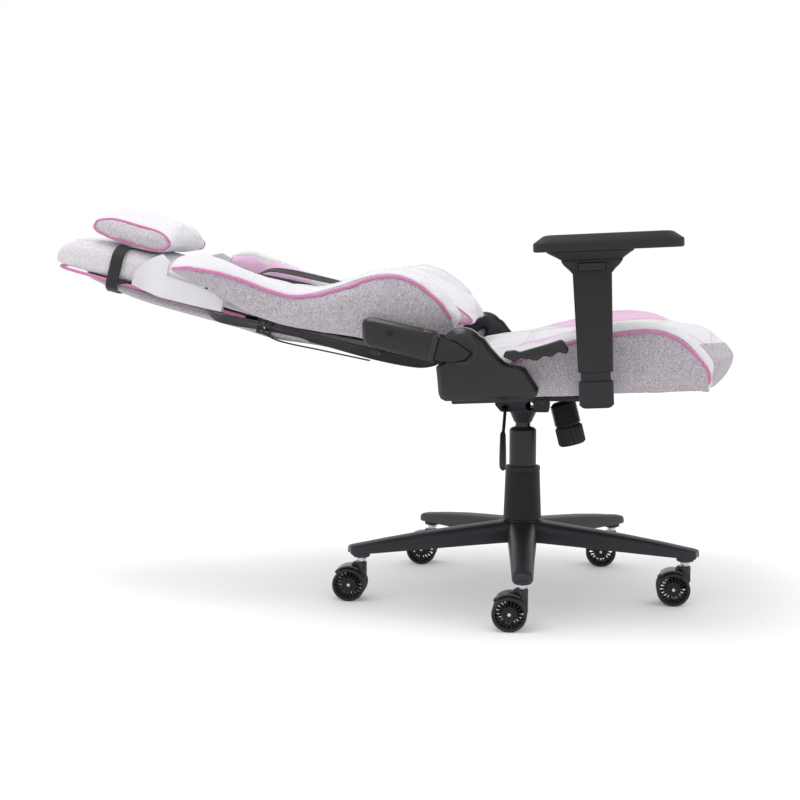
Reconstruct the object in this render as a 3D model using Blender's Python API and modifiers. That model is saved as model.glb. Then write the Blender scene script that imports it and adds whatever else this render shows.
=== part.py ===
"""Gaming chair with a reclining back, lift column, tilt mechanism and adjustable armrests.

Units are metres, +Z up.  +X is the way the sitter faces and +Y is the sitter's left.
The back is modelled upright in its own frame and leaned back by its empty, and the seat is
modelled level in its own frame and tipped by its empty.
"""
import math

import bmesh
import bpy
from mathutils import Vector

# ---- driving dimensions ---------------------------------------------------------------
COLUMN_X = 0.2345           # column axis from the chair's overall middle
MESH_GAP = 0.0004           # gap kept between touching pieces

ARM_COUNT = 5
ARM_TURN = math.radians(2.55)
BASE_RADIUS = 0.330         # column axis to the end of a base arm
STEM_RADIUS = 0.308         # column axis to a caster stem
BASE_TOP = 0.1385
ARM_END_TOP = 0.102
BOSS_BOTTOM = 0.079

WHEEL_RADIUS = 0.030
WHEEL_WIDTH = 0.0205
WHEEL_GAP = 0.012
CASTER_TRAIL = 0.021        # stem axis to the wheel axle
HOOD_TOP = 0.0705
STEM_R = 0.0055

COVER_TOP = 0.237
TUBE_R = 0.025
TUBE_TOP = 0.308
ROD_R = 0.014
ROD_TOP = 0.356

MECH_HALF_WIDTH = 0.050
TILT_PIVOT = (0.035, 0.0, 0.362)
SEAT_TILT = math.radians(2.5)
SPRING_TOP = (0.0725, 0.0, 0.3575)
SPRING_LEAN = math.radians(14.0)
LEVER_ROOT = (-0.031, -0.036, 0.349)

PAN_BOTTOM = 0.389
PAN_TOP = 0.4100
SEAT_HALF_WIDTH = 0.262
SEAT_REAR = -0.138
SEAT_FRONT = 0.390

PIVOT = (-0.085, 0.0, 0.478)            # recline axis, in the level seat frame
RECLINE = math.radians(73.0)            # lean of the back from the seat's upright
BACK_ARM_Y = 0.2635
BRACKET_Y = 0.2690
COVER_Y = 0.2735
SIDE_COVER_DEPTH = 0.038
ARM_COVER_DEPTH = 0.027

CENTRE_HALF = 0.1645        # half width of the centre back cushion between the bolsters
NECK_HALF = 0.1490
BOLSTER_TOP = 0.530
HEAD_TOP = 0.766

ARMREST = (0.135, 0.310)    # armrest column axis: forward, sideways
SOCKET_TOP = 0.418
SLEEVE_BOTTOM = 0.434
SLEEVE_TOP = 0.618
PAD_BOTTOM = 0.6335
PAD_TOP = 0.661

SIDES = (("right", -1.0), ("left", 1.0))


# ---- scene and helpers ----------------------------------------------------------------
for old in list(bpy.data.objects):
    bpy.data.objects.remove(old, do_unlink=True)

PARTS = bpy.data.collections.new("gaming_chair")
CUTTERS = bpy.data.collections.new("cutters")
bpy.context.scene.collection.children.link(PARTS)
bpy.context.scene.collection.children.link(CUTTERS)
ORIGINS = {}


def material(name, rgb, roughness, metallic=0.0):
    """A plain Principled material."""
    mat = bpy.data.materials.new(name)
    mat.use_nodes = True
    shader = mat.node_tree.nodes["Principled BSDF"]
    shader.inputs["Base Color"].default_value = (*rgb, 1.0)
    shader.inputs["Roughness"].default_value = roughness
    shader.inputs["Metallic"].default_value = metallic
    return mat


STEEL_BLACK = material("black_steel", (0.060, 0.060, 0.066), 0.42, 0.6)
STEEL_BRIGHT = material("bright_steel", (0.62, 0.62, 0.64), 0.25, 1.0)
PLASTIC_DARK = material("dark_plastic", (0.036, 0.036, 0.040), 0.50)
PLASTIC_WHITE = material("white_plastic", (0.80, 0.80, 0.80), 0.38)
RUBBER = material("pad_rubber", (0.050, 0.050, 0.055), 0.65)
TYRE = material("wheel_tread", (0.030, 0.030, 0.033), 0.60)
FABRIC_WHITE = material("white_fabric", (0.78, 0.77, 0.79), 0.92)
FABRIC_GREY = material("grey_fabric", (0.44, 0.41, 0.44), 0.94)
WEBBING = material("black_webbing", (0.022, 0.022, 0.024), 0.85)


def joint(name, parent=None, at=(0, 0, 0), origin=None, pitch=0.0, yaw=0.0):
    """An empty on a joint axis; at is in the parent's design coordinates."""
    empty = bpy.data.objects.new(name, None)
    PARTS.objects.link(empty)
    base = Vector((0, 0, 0))
    if parent is not None:
        empty.parent = parent
        base = ORIGINS[parent.name]
    empty.location = Vector(at) - base
    empty.rotation_euler = (0.0, pitch, yaw)
    ORIGINS[name] = Vector(at if origin is None else origin)
    return empty


def add(name, mesh, mat, frame, location=(0, 0, 0), rotation=(0, 0, 0)):
    """Link a mesh object into the chair, placed in its frame's design coordinates."""
    obj = bpy.data.objects.new(name, mesh)
    PARTS.objects.link(obj)
    obj.parent = frame
    obj.location = Vector(location) - ORIGINS[frame.name]
    obj.rotation_euler = rotation
    if mat is not None:
        obj.data.materials.append(mat)
    return obj


def smooth(obj, angle=35.0):
    """Shade round faces smooth and keep real corners sharp."""
    obj.data.shade_smooth()
    obj.data.set_sharp_from_angle(angle=math.radians(angle))
    return obj


def bevel(obj, width, segments=2, angle=40.0):
    """Round or chamfer the object's real corners."""
    mod = obj.modifiers.new("edges", 'BEVEL')
    mod.width = width
    mod.segments = segments
    mod.limit_method = 'ANGLE'
    mod.angle_limit = math.radians(angle)
    return obj


def hide(obj):
    """Turn an object into a cutter."""
    PARTS.objects.unlink(obj)
    CUTTERS.objects.link(obj)
    obj.hide_render = True
    obj.display_type = 'WIRE'


def combine(obj, other, operation):
    """Cut or join other into obj."""
    mod = obj.modifiers.new(other.name, 'BOOLEAN')
    mod.operation = operation
    mod.solver = 'EXACT'
    mod.object = other
    hide(other)
    return obj


def box(name, low, high, mat, frame):
    """A box between two corners."""
    mesh = bpy.data.meshes.new(name)
    shape = bmesh.new()
    bmesh.ops.create_cube(shape, size=1.0)
    bmesh.ops.scale(shape, vec=Vector(high) - Vector(low), verts=shape.verts)
    shape.to_mesh(mesh)
    shape.free()
    return add(name, mesh, mat, frame, (Vector(low) + Vector(high)) / 2)


def rod(name, start, end, radius, mat, frame, end_radius=None, sides=16):
    """A cylinder or cone from start to end."""
    span = Vector(end) - Vector(start)
    mesh = bpy.data.meshes.new(name)
    shape = bmesh.new()
    bmesh.ops.create_cone(shape, cap_ends=True, segments=sides, depth=span.length,
                          radius1=radius, radius2=end_radius or radius)
    shape.to_mesh(mesh)
    shape.free()
    turn = span.to_track_quat('Z', 'Y').to_euler()
    return smooth(add(name, mesh, mat, frame, (Vector(start) + Vector(end)) / 2, turn))


def turned(name, profile, mat, frame, at=(0, 0, 0), rotation=(0, 0, 0), steps=24, closed=False):
    """A profile of (radius, height) points, outer side top to bottom, spun about Z."""
    mesh = bpy.data.meshes.new(name)
    count = len(profile)
    edges = [(i, i + 1) for i in range(count - 1)]
    if closed:
        edges.append((count - 1, 0))
    mesh.from_pydata([(r, 0.0, z) for r, z in profile], edges, [])
    obj = add(name, mesh, mat, frame, at, rotation)
    mod = obj.modifiers.new("turn", 'SCREW')
    mod.steps = steps
    mod.render_steps = steps
    mod.use_merge_vertices = True
    mod.merge_threshold = 0.00005
    return obj


def outline(name, points, depth, mat, frame, at, rotation):
    """A flat outline given half its depth to each side, as a welded mesh."""
    curve = bpy.data.curves.new(name + "_outline", 'CURVE')
    curve.dimensions = '2D'
    curve.fill_mode = 'BOTH'
    curve.extrude = depth / 2
    spline = curve.splines.new('POLY')
    spline.points.add(len(points) - 1)
    for point, (u, v) in zip(spline.points, points):
        point.co = (u, v, 0.0, 1.0)
    spline.use_cyclic_u = True
    source = bpy.data.objects.new(name + "_outline", curve)
    bpy.context.scene.collection.objects.link(source)
    graph = bpy.context.evaluated_depsgraph_get()
    mesh = bpy.data.meshes.new_from_object(source.evaluated_get(graph))
    bpy.data.objects.remove(source)
    shape = bmesh.new()
    shape.from_mesh(mesh)
    bmesh.ops.remove_doubles(shape, verts=shape.verts, dist=0.00002)
    bmesh.ops.recalc_face_normals(shape, faces=shape.faces)
    shape.to_mesh(mesh)
    shape.free()
    return add(name, mesh, mat, frame, at, rotation)


def side_plate(name, points, y_low, y_high, mat, frame):
    """An outline of (x, z) points, from y_low to y_high."""
    middle = (y_low + y_high) / 2
    return outline(name, points, abs(y_high - y_low), mat, frame, (0, middle, 0),
                   (math.pi / 2, 0, 0))


def flat_plate(name, points, z_low, z_high, mat, frame):
    """An outline of (x, y) points, from z_low to z_high."""
    return outline(name, points, z_high - z_low, mat, frame, (0, 0, (z_low + z_high) / 2),
                   (0, 0, 0))


def loft(name, rings, mat, frame, looped=False):
    """A closed skin over rings of points that all have the same count."""
    shape = bmesh.new()
    rows = [[shape.verts.new(point) for point in ring] for ring in rings]
    count = len(rows[0])
    last = len(rows) if looped else len(rows) - 1
    for k in range(last):
        near = rows[k]
        far = rows[(k + 1) % len(rows)]
        for i in range(count):
            j = (i + 1) % count
            shape.faces.new((near[i], near[j], far[j], far[i]))
    if not looped:
        shape.faces.new(rows[0])
        shape.faces.new(rows[-1])
    bmesh.ops.recalc_face_normals(shape, faces=shape.faces)
    mesh = bpy.data.meshes.new(name)
    shape.to_mesh(mesh)
    shape.free()
    return add(name, mesh, mat, frame)


def soften(obj, levels=1):
    """Round a cage into an upholstered form."""
    mod = obj.modifiers.new("soft", 'SUBSURF')
    mod.levels = levels
    mod.render_levels = levels
    return smooth(obj, 60.0)


def tube(name, points, radius, mat, frame):
    """A round tube along points, as a welded mesh."""
    curve = bpy.data.curves.new(name + "_path", 'CURVE')
    curve.dimensions = '3D'
    curve.bevel_depth = radius
    curve.bevel_resolution = 2
    curve.use_fill_caps = True
    spline = curve.splines.new('POLY')
    spline.points.add(len(points) - 1)
    for point, place in zip(spline.points, points):
        point.co = (*place, 1.0)
    source = bpy.data.objects.new(name + "_path", curve)
    bpy.context.scene.collection.objects.link(source)
    graph = bpy.context.evaluated_depsgraph_get()
    mesh = bpy.data.meshes.new_from_object(source.evaluated_get(graph))
    bpy.data.objects.remove(source)
    shape = bmesh.new()
    shape.from_mesh(mesh)
    bmesh.ops.remove_doubles(shape, verts=shape.verts, dist=0.00002)
    bmesh.ops.recalc_face_normals(shape, faces=shape.faces)
    shape.to_mesh(mesh)
    shape.free()
    return smooth(add(name, mesh, mat, frame))


def band(name, path, width, thickness, across, mat, frame):
    """Flat webbing along a path; across gives the width direction at each point."""
    rings = []
    for k, place in enumerate(path):
        here = Vector(place)
        ahead = Vector(path[min(k + 1, len(path) - 1)]) - Vector(path[max(k - 1, 0)])
        side = Vector(across[k]).normalized() * width / 2
        up = ahead.cross(side).normalized() * thickness / 2
        rings.append([here - side - up, here + side - up, here + side + up, here - side + up])
    return loft(name, rings, mat, frame)


def curve_value(table, x):
    """Smooth value at x through a short table of (x, value) points."""
    if x <= table[0][0]:
        return table[0][1]
    if x >= table[-1][0]:
        return table[-1][1]
    for k in range(len(table) - 1):
        if x <= table[k + 1][0]:
            break
    before = table[max(k - 1, 0)]
    a, b = table[k], table[k + 1]
    after = table[min(k + 2, len(table) - 1)]
    slope_a = (b[1] - before[1]) / (b[0] - before[0])
    slope_b = (after[1] - a[1]) / (after[0] - a[0])
    span = b[0] - a[0]
    t = (x - a[0]) / span
    return (a[1] * (1 + 2 * t) * (1 - t) ** 2 + b[1] * t * t * (3 - 2 * t)
            + slope_a * span * t * (1 - t) ** 2 - slope_b * span * t * t * (1 - t))


def arc(centre, radius, first, last, count):
    """Points on a circle between two angles in degrees."""
    points = []
    for k in range(count):
        turn = math.radians(first + (last - first) * k / (count - 1))
        points.append((centre[0] + radius * math.cos(turn), centre[1] + radius * math.sin(turn)))
    return points


def smooth_path(points, per_span=4):
    """A smooth run of places through a few points."""
    places = []
    steps = (len(points) - 1) * per_span
    tables = [[(k, point[i]) for k, point in enumerate(points)] for i in range(3)]
    for k in range(steps + 1):
        places.append(tuple(curve_value(table, k / per_span) for table in tables))
    return places


# ---- joints ---------------------------------------------------------------------------
CHAIR = joint("chair", at=(COLUMN_X, 0, 0), origin=(0, 0, 0))
LIFT = joint("lift", CHAIR)
SWIVEL = joint("swivel", LIFT, (0, 0, ROD_TOP))
SEAT = joint("seat_tilt", SWIVEL, TILT_PIVOT, pitch=-SEAT_TILT)
BACK = joint("back_recline", SEAT, PIVOT, origin=(0, 0, 0), pitch=-RECLINE)


# ---- base and column ------------------------------------------------------------------
def star_base():
    """Five tapered arms on a hub, with a bore for the gas lift and one for each stem."""
    hub = rod("star_base", (0, 0, 0.092), (0, 0, BASE_TOP), 0.0335, STEEL_BLACK, CHAIR, sides=30)
    for k in range(ARM_COUNT):
        turn = ARM_TURN - math.pi / 2 + k * 2 * math.pi / ARM_COUNT
        rings = []
        for reach, half, bottom, top in ((0.012, 0.0270, 0.0965, BASE_TOP - 0.002),
                                         (0.040, 0.0265, 0.0965, BASE_TOP - 0.004),
                                         (0.190, 0.0215, 0.0905, 0.1205),
                                         (BASE_RADIUS - 0.006, 0.0180, 0.0850, ARM_END_TOP),
                                         (BASE_RADIUS, 0.0150, 0.0860, ARM_END_TOP - 0.003)):
            shoulder = min(0.007, (top - bottom) / 3)
            section = [(-half * 0.92, bottom), (half * 0.92, bottom), (half, top - shoulder),
                       (half * 0.72, top), (-half * 0.72, top), (-half, top - shoulder)]
            rings.append([(reach * math.cos(turn) - y * math.sin(turn),
                           reach * math.sin(turn) + y * math.cos(turn), z) for y, z in section])
        combine(hub, loft(f"base_arm_{k}", rings, STEEL_BLACK, CHAIR), 'UNION')
        stem = Vector((STEM_RADIUS * math.cos(turn), STEM_RADIUS * math.sin(turn), 0))
        boss = rod(f"stem_boss_{k}", stem + Vector((0, 0, BOSS_BOTTOM)),
                   stem + Vector((0, 0, 0.0945)), 0.0158, STEEL_BLACK, CHAIR, sides=14)
        combine(hub, boss, 'UNION')
        bore = rod(f"stem_bore_{k}", stem + Vector((0, 0, 0.070)),
                   stem + Vector((0, 0, 0.0935)), STEM_R + MESH_GAP, None, CHAIR, sides=12)
        combine(hub, bore, 'DIFFERENCE')
    bore = rod("column_bore", (0, 0, 0.080), (0, 0, 0.150), TUBE_R + MESH_GAP, None, CHAIR,
               sides=30)
    combine(hub, bore, 'DIFFERENCE')


def column():
    """Gas lift: outer tube in the hub, chromed rod, and the plastic cover round the tube."""
    turned("gas_cylinder", [(0.0145, TUBE_TOP), (TUBE_R - 0.0012, TUBE_TOP),
                            (TUBE_R, TUBE_TOP - 0.0015), (TUBE_R, 0.094),
                            (TUBE_R - 0.002, 0.0925), (0.0, 0.0925), (0.0, 0.110),
                            (0.0145, 0.110)], STEEL_BLACK, CHAIR, steps=30, closed=True)
    lip = TUBE_R + 0.0006
    turned("column_cover", [(lip, COVER_TOP - 0.001), (0.0315, COVER_TOP), (0.0325, COVER_TOP - 0.002),
                            (0.0355, BASE_TOP + MESH_GAP), (0.0330, BASE_TOP + MESH_GAP),
                            (0.0302, COVER_TOP - 0.004), (lip, COVER_TOP - 0.004)],
           PLASTIC_DARK, CHAIR, steps=30, closed=True)
    rod("piston_rod", (0, 0, 0.120), (0, 0, ROD_TOP), ROD_R, STEEL_BRIGHT, LIFT, sides=24)


def caster(index):
    """A twin-wheel caster: steel stem, plastic hood and a pair of wheels on one axle."""
    turn = ARM_TURN - math.pi / 2 + index * 2 * math.pi / ARM_COUNT
    stem = (STEM_RADIUS * math.cos(turn), STEM_RADIUS * math.sin(turn), 0.0)
    swivel = joint(f"caster_swivel_{index}", CHAIR, stem, origin=(0, 0, 0))
    axle = joint(f"caster_roll_{index}", swivel, (-CASTER_TRAIL, 0, WHEEL_RADIUS),
                 origin=(0, 0, 0))
    rod(f"caster_stem_{index}", (0, 0, HOOD_TOP - 0.010), (0, 0, 0.0930), STEM_R, STEEL_BRIGHT,
        swivel, sides=12)
    half = WHEEL_GAP / 2 - MESH_GAP
    back = -CASTER_TRAIL
    profile = [(0.0095, HOOD_TOP), (-0.014, HOOD_TOP)]
    profile += arc((back, WHEEL_RADIUS), 0.0335, 82, 140, 5)
    profile += arc((back, WHEEL_RADIUS), 0.0250, 140, 100, 3)
    profile += [(back - 0.0085, 0.0300)] + arc((back, WHEEL_RADIUS), 0.0085, 200, 340, 4)
    profile += [(0.0045, 0.0300), (0.0095, 0.0420)]
    hood = side_plate(f"caster_hood_{index}", profile, -half, half, PLASTIC_DARK, swivel)
    cap = rod(f"hood_cap_{index}", (-0.002, 0, 0.0625), (-0.002, 0, HOOD_TOP), 0.0115, None,
              swivel, sides=14)
    combine(hood, cap, 'UNION')
    bore = rod(f"hood_bore_{index}", (0, 0, HOOD_TOP - 0.0105), (0, 0, HOOD_TOP + 0.01),
               STEM_R + MESH_GAP, None, swivel, sides=12)
    combine(hood, bore, 'DIFFERENCE')
    hole = rod(f"axle_hole_{index}", (back, -0.02, WHEEL_RADIUS), (back, 0.02, WHEEL_RADIUS),
               0.0044, None, swivel, sides=12)
    combine(hood, hole, 'DIFFERENCE')
    inner = WHEEL_GAP / 2
    outer = inner + WHEEL_WIDTH
    side = [(0.0, outer - 0.004), (0.010, outer - 0.003), (0.0125, outer - 0.0045),
            (0.0235, outer - 0.0045), (0.0255, outer - 0.0008), (0.0280, outer),
            (WHEEL_RADIUS, outer - 0.0030), (WHEEL_RADIUS, inner + 0.0020),
            (0.0280, inner), (0.0040, inner)]
    profile = side + [(r, -z) for r, z in reversed(side)]
    turned(f"caster_wheels_{index}", profile, TYRE, axle, rotation=(math.pi / 2, 0, 0),
           steps=16)


# ---- mechanism ------------------------------------------------------------------------
def mechanism():
    """Lower tilt mechanism on the gas lift, with its axle, spring sleeve and adjuster knob."""
    wide = MECH_HALF_WIDTH
    profile = [(-0.050, 0.356), (-0.046, 0.350), (-0.038, 0.3415), (0.047, 0.3415),
               (0.049, 0.3435), (0.049, 0.3620), (0.104, 0.3620), (0.104, 0.3700),
               (0.103, 0.3715), (0.030, 0.3715)]
    body = side_plate("mechanism_body", profile, -wide, wide, STEEL_BLACK, SWIVEL)
    socket = rod("rod_socket", (0, 0, 0.3185), (0, 0, 0.345), 0.0165, None, SWIVEL,
                 end_radius=0.0280, sides=24)
    combine(body, socket, 'UNION')
    bore = rod("rod_bore", (0, 0, 0.310), (0, 0, ROD_TOP + MESH_GAP), ROD_R + MESH_GAP, None,
               SWIVEL, sides=24)
    combine(body, bore, 'DIFFERENCE')
    pivot = Vector(TILT_PIVOT)
    across = Vector((0, 0.08, 0))
    combine(body, rod("tilt_bore", pivot - across, pivot + across, 0.0054, None, SWIVEL),
            'DIFFERENCE')
    window = Vector((0.014, 0, 0.3525))
    combine(body, rod("side_window", window - across, window + across, 0.0078, None, SWIVEL),
            'DIFFERENCE')
    pocket = Vector(LEVER_ROOT)
    combine(body, rod("lever_pocket", pocket + Vector((0, 0.004, 0)), pocket - across, 0.0062,
                      None, SWIVEL, sides=12), 'DIFFERENCE')
    rod("tilt_axle", pivot - Vector((0, 0.059, 0)), pivot + Vector((0, 0.059, 0)), 0.0050,
        STEEL_BRIGHT, SWIVEL)

    lean = (0, -SPRING_LEAN, 0)
    top = Vector(SPRING_TOP)
    sleeve = [(0.0, 0.0), (0.0170, -0.0005), (0.0215, -0.0050)]
    for k in range(9):
        z = -0.0065 - 0.0042 * k
        sleeve += [(0.0248, z), (0.0248, z - 0.0016), (0.0222, z - 0.0026)]
    sleeve += [(0.0222, -0.0455), (0.0, -0.0455)]
    turned("spring_sleeve", sleeve, PLASTIC_DARK, SWIVEL, top, lean, steps=16)
    down = Vector((math.sin(SPRING_LEAN), 0, -math.cos(SPRING_LEAN)))
    knob_at = top + down * 0.0462
    knob = joint("tension_turn", SWIVEL, knob_at, origin=(0, 0, 0), pitch=-SPRING_LEAN)
    grip = [(0.0, 0.0), (0.0240, 0.0), (0.0256, -0.0025), (0.0256, -0.0335),
            (0.0236, -0.0365), (0.0, -0.0365)]
    turned("tension_knob", grip, PLASTIC_DARK, knob, (0, 0, 0), steps=28)


def lift_lever():
    """Steel lever out of the mechanism's side with a hanging plastic grip."""
    pull = joint("lever_pull", SWIVEL, LEVER_ROOT)
    end = Vector((-0.024, -0.238, 0.3235))
    rod("lift_lever_rod", LEVER_ROOT, end, 0.0031, STEEL_BLACK, pull, sides=12)
    top = end + Vector((0, -0.0015, 0.0020))
    fall = Vector((0.002, -0.034, -0.0600))
    rings = []
    for along, wide, thick in ((0.00, 0.0040, 0.0055), (0.10, 0.0052, 0.0075),
                               (0.45, 0.0058, 0.0095), (0.90, 0.0062, 0.0100),
                               (1.00, 0.0045, 0.0080)):
        middle = top + fall * along
        out = Vector((0, -0.87, 0.49))
        ring = []
        for u, v in arc((0, 0), 1.0, 0, 315, 8):
            ring.append(middle + Vector((u * wide, 0, 0)) + out * (v * thick + thick))
        rings.append([point + Vector((0, -0.0012, 0)) for point in ring])
    smooth(loft("lift_lever_grip", rings, PLASTIC_DARK, pull))


# ---- seat -----------------------------------------------------------------------------
CREST = [(-0.14, 0.448), (-0.08, 0.4655), (0.0, 0.474), (0.08, 0.497), (0.16, 0.514),
         (0.235, 0.512), (0.28, 0.495), (0.315, 0.462), (0.334, 0.425), (0.334, 0.40)]
PIPED = [(-0.14, 0.440), (-0.08, 0.458), (0.0, 0.4665), (0.08, 0.480), (0.16, 0.494),
         (0.235, 0.497), (0.28, 0.479), (0.31, 0.446), (0.322, 0.415), (0.322, 0.40)]
MIDDLE = [(-0.14, 0.446), (-0.08, 0.4655), (-0.03, 0.474), (0.10, 0.478), (0.25, 0.487),
          (0.32, 0.485), (0.36, 0.464), (0.381, 0.432), (0.383, 0.415)]


def seat_front(y):
    """Forward edge of the seat at a distance from its middle line."""
    return SEAT_FRONT - 0.061 * (abs(y) / SEAT_HALF_WIDTH) ** 2.6


def pan_outline(grow=0.0):
    """Plan of the pressed pan, which sits in a pocket under the foam."""
    half = SEAT_HALF_WIDTH - 0.030 + grow
    right = [(SEAT_REAR + 0.026 - grow, half - 0.020), (SEAT_REAR + 0.046 - grow, half)]
    right += [(seat_front(y) - 0.045 + grow, y) for y in (half, half * 0.8, half * 0.5)]
    return right + [(seat_front(0.0) - 0.050 + grow, 0.0)] + [(x, -y) for x, y in reversed(right)]


def seat_cushion():
    """Bucket seat foam wrapped down round the pan: a dished middle between raised bolsters."""
    stations = (0.0, 0.03, 0.09, 0.18, 0.30, 0.43, 0.56, 0.69, 0.80, 0.88, 0.94, 0.975, 1.0)
    ring_y = (0.0, 0.11, 0.170, 0.222, 0.250, SEAT_HALF_WIDTH)
    rings = []
    for s in stations:
        top = []
        for i, y in enumerate(ring_y):
            x = SEAT_REAR + (seat_front(y) - SEAT_REAR) * s
            middle = curve_value(MIDDLE, x)
            crest = curve_value(CREST, x)
            piped = curve_value(PIPED, x)
            height = (middle, middle, middle * 0.6 + crest * 0.4, crest, crest * 0.7 + piped * 0.3,
                      piped - 0.004)[i]
            top.append((x, y, max(height, PAN_TOP + 0.012)))
        low = PAN_BOTTOM
        rim = SEAT_REAR + (seat_front(SEAT_HALF_WIDTH) - SEAT_REAR) * s
        inner = SEAT_REAR + 0.004 + (seat_front(0.22) - SEAT_REAR - 0.014) * s
        centre = SEAT_REAR + 0.004 + (seat_front(0.0) - SEAT_REAR - 0.024) * s
        right = top + [(rim, SEAT_HALF_WIDTH, low + 0.014), (inner, 0.246, low),
                       (centre, 0.0, low)]
        left = [(x, -y, z) for x, y, z in reversed(right[1:-1])]
        rings.append(right + left)
    cushion = soften(loft("seat_cushion", rings, FABRIC_WHITE, SEAT))
    pocket = flat_plate("pan_pocket", pan_outline(MESH_GAP), PAN_BOTTOM - 0.01,
                        PAN_TOP + MESH_GAP, None, SEAT)
    combine(cushion, pocket, 'DIFFERENCE')


def seat_structure():
    """Pressed pan under the foam and the plate that bolts the pan to the mechanism."""
    pan = flat_plate("seat_pan", pan_outline(), PAN_BOTTOM, PAN_TOP, STEEL_BLACK, SEAT)
    inner = SEAT_HALF_WIDTH - 0.042
    hollow = box("pan_hollow", (SEAT_REAR + 0.048, -inner, PAN_BOTTOM + 0.005),
                 (0.285, inner, PAN_TOP + 0.01), None, SEAT)
    combine(pan, hollow, 'DIFFERENCE')

    top = PAN_BOTTOM - MESH_GAP
    plate = bevel(box("seat_plate", (-0.085, -0.075, top - 0.007), (0.125, 0.075, top),
                      STEEL_BLACK, SEAT), 0.002, 1)
    pivot = Vector(TILT_PIVOT)
    for name, side in SIDES:
        inner = side * (MECH_HALF_WIDTH + 0.0006)
        lug_profile = [(pivot.x - 0.012, top - 0.004)] + \
            arc((pivot.x, pivot.z), 0.011, 200, 340, 6) + [(pivot.x + 0.012, top - 0.004)]
        lug = side_plate(f"tilt_lug_{name}", lug_profile, inner, inner + side * 0.005, None, SEAT)
        combine(plate, lug, 'UNION')
    across = Vector((0, 0.08, 0))
    combine(plate, rod("lug_bore", pivot - across, pivot + across, 0.0054, None, SEAT),
            'DIFFERENCE')


def recliner(name, side):
    """Seat-side hinge bracket and its plastic side cover."""
    px, _, pz = PIVOT
    low = PAN_BOTTOM - MESH_GAP - 0.005
    profile = arc((px, pz), 0.030, 0, 180, 9) + [(-0.116, 0.410), (-0.108, low), (0.020, low),
                                                 (0.020, 0.412)]
    plate = side_plate(f"hinge_bracket_{name}", profile, side * BRACKET_Y,
                       side * (BRACKET_Y + 0.004), STEEL_BLACK, SEAT)
    flange = box(f"bracket_flange_{name}", (-0.100, min(side * 0.190, side * 0.2695), low),
                 (0.012, max(side * 0.190, side * 0.2695), low + 0.0048), None, SEAT)
    combine(plate, flange, 'UNION')
    across = Vector((0, 0.3, 0))
    pivot = Vector(PIVOT)
    bore = rod(f"hinge_bore_{name}", pivot - across, pivot + across, 0.0064, None, SEAT)
    combine(plate, bore, 'DIFFERENCE')

    shape = arc((px, pz), 0.0365, 36, 206, 14)
    shape += [(-0.1300, 0.450), (-0.1275, 0.404), (-0.1160, 0.392), (0.0300, 0.392),
              (0.0400, 0.408), (0.0190, 0.4430), (-0.0060, 0.4500), (-0.0230, 0.4620),
              (-0.0370, 0.4790), (-0.0470, 0.4940)]
    cover = side_plate(f"side_cover_{name}", shape, side * COVER_Y,
                       side * (COVER_Y + SIDE_COVER_DEPTH), PLASTIC_DARK, SEAT)
    bevel(cover, 0.008, 2, 55)


def recline_lever():
    """Finger lever at the sitter's right, in front of the side cover."""
    turn = joint("lever_turn", SEAT, (-0.006, 0, 0.462))
    y = -(COVER_Y + 0.020)
    boss = side_plate("recline_lever", [(-0.0180, 0.4635), (-0.0130, 0.4725), (0.0020, 0.4735),
                                        (0.0100, 0.4700), (0.0240, 0.4735), (0.0790, 0.4880),
                                        (0.0840, 0.4860), (0.0920, 0.4715), (0.0880, 0.4640),
                                        (0.0760, 0.4680), (0.0640, 0.4600), (0.0520, 0.4620),
                                        (0.0400, 0.4545), (0.0260, 0.4580), (0.0120, 0.4600),
                                        (0.0010, 0.4535)],
                      y - 0.0095, y + 0.0095, PLASTIC_DARK, turn)
    bevel(boss, 0.0025, 2, 30)


# ---- back -----------------------------------------------------------------------------
WIDTH = [(0.020, 0.228), (0.060, 0.250), (0.130, SEAT_HALF_WIDTH), (0.200, 0.260),
         (0.270, 0.250), (0.330, 0.243), (0.400, 0.250), (0.470, 0.264), (0.510, 0.263),
         (BOLSTER_TOP, 0.246)]
PIPING = [(0.020, 0.026), (0.046, 0.054), (0.080, 0.075), (0.132, 0.091), (0.180, 0.080),
          (0.253, 0.036), (0.304, 0.011), (0.345, 0.008), (0.410, 0.015), (0.463, 0.015),
          (0.507, 0.007), (BOLSTER_TOP, -0.001)]
RIDGE = [(0.020, 0.036), (0.050, 0.068), (0.100, 0.096), (0.148, 0.101), (0.190, 0.085),
         (0.250, 0.050), (0.310, 0.034), (0.375, 0.030), (0.430, 0.033), (0.490, 0.041),
         (BOLSTER_TOP, 0.018)]
CENTRE = [(0.020, 0.022), (0.100, 0.022), (0.200, 0.020), (0.300, 0.014), (0.400, 0.003),
          (0.460, -0.001), (0.560, 0.002), (0.700, 0.004), (0.745, -0.002), (HEAD_TOP, -0.016)]
SEAM = [(0.060, -0.028), (0.170, -0.034), (0.240, -0.040), (0.300, -0.046), (0.345, -0.050),
        (0.400, -0.0555), (HEAD_TOP, -0.0555)]
WING_BACK = [(0.020, -0.010), (0.060, -0.027), (0.170, -0.029), (0.240, -0.036),
             (0.345, -0.047), (0.400, -0.035), (0.440, -0.018), (BOLSTER_TOP, -0.009)]
PANEL_BACK = [(0.060, -0.053), (0.135, -0.063), (0.254, -0.070), (0.339, -0.0795),
              (0.500, -0.081), (0.600, -0.079), (0.652, -0.072), (0.715, -0.0625)]


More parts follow.
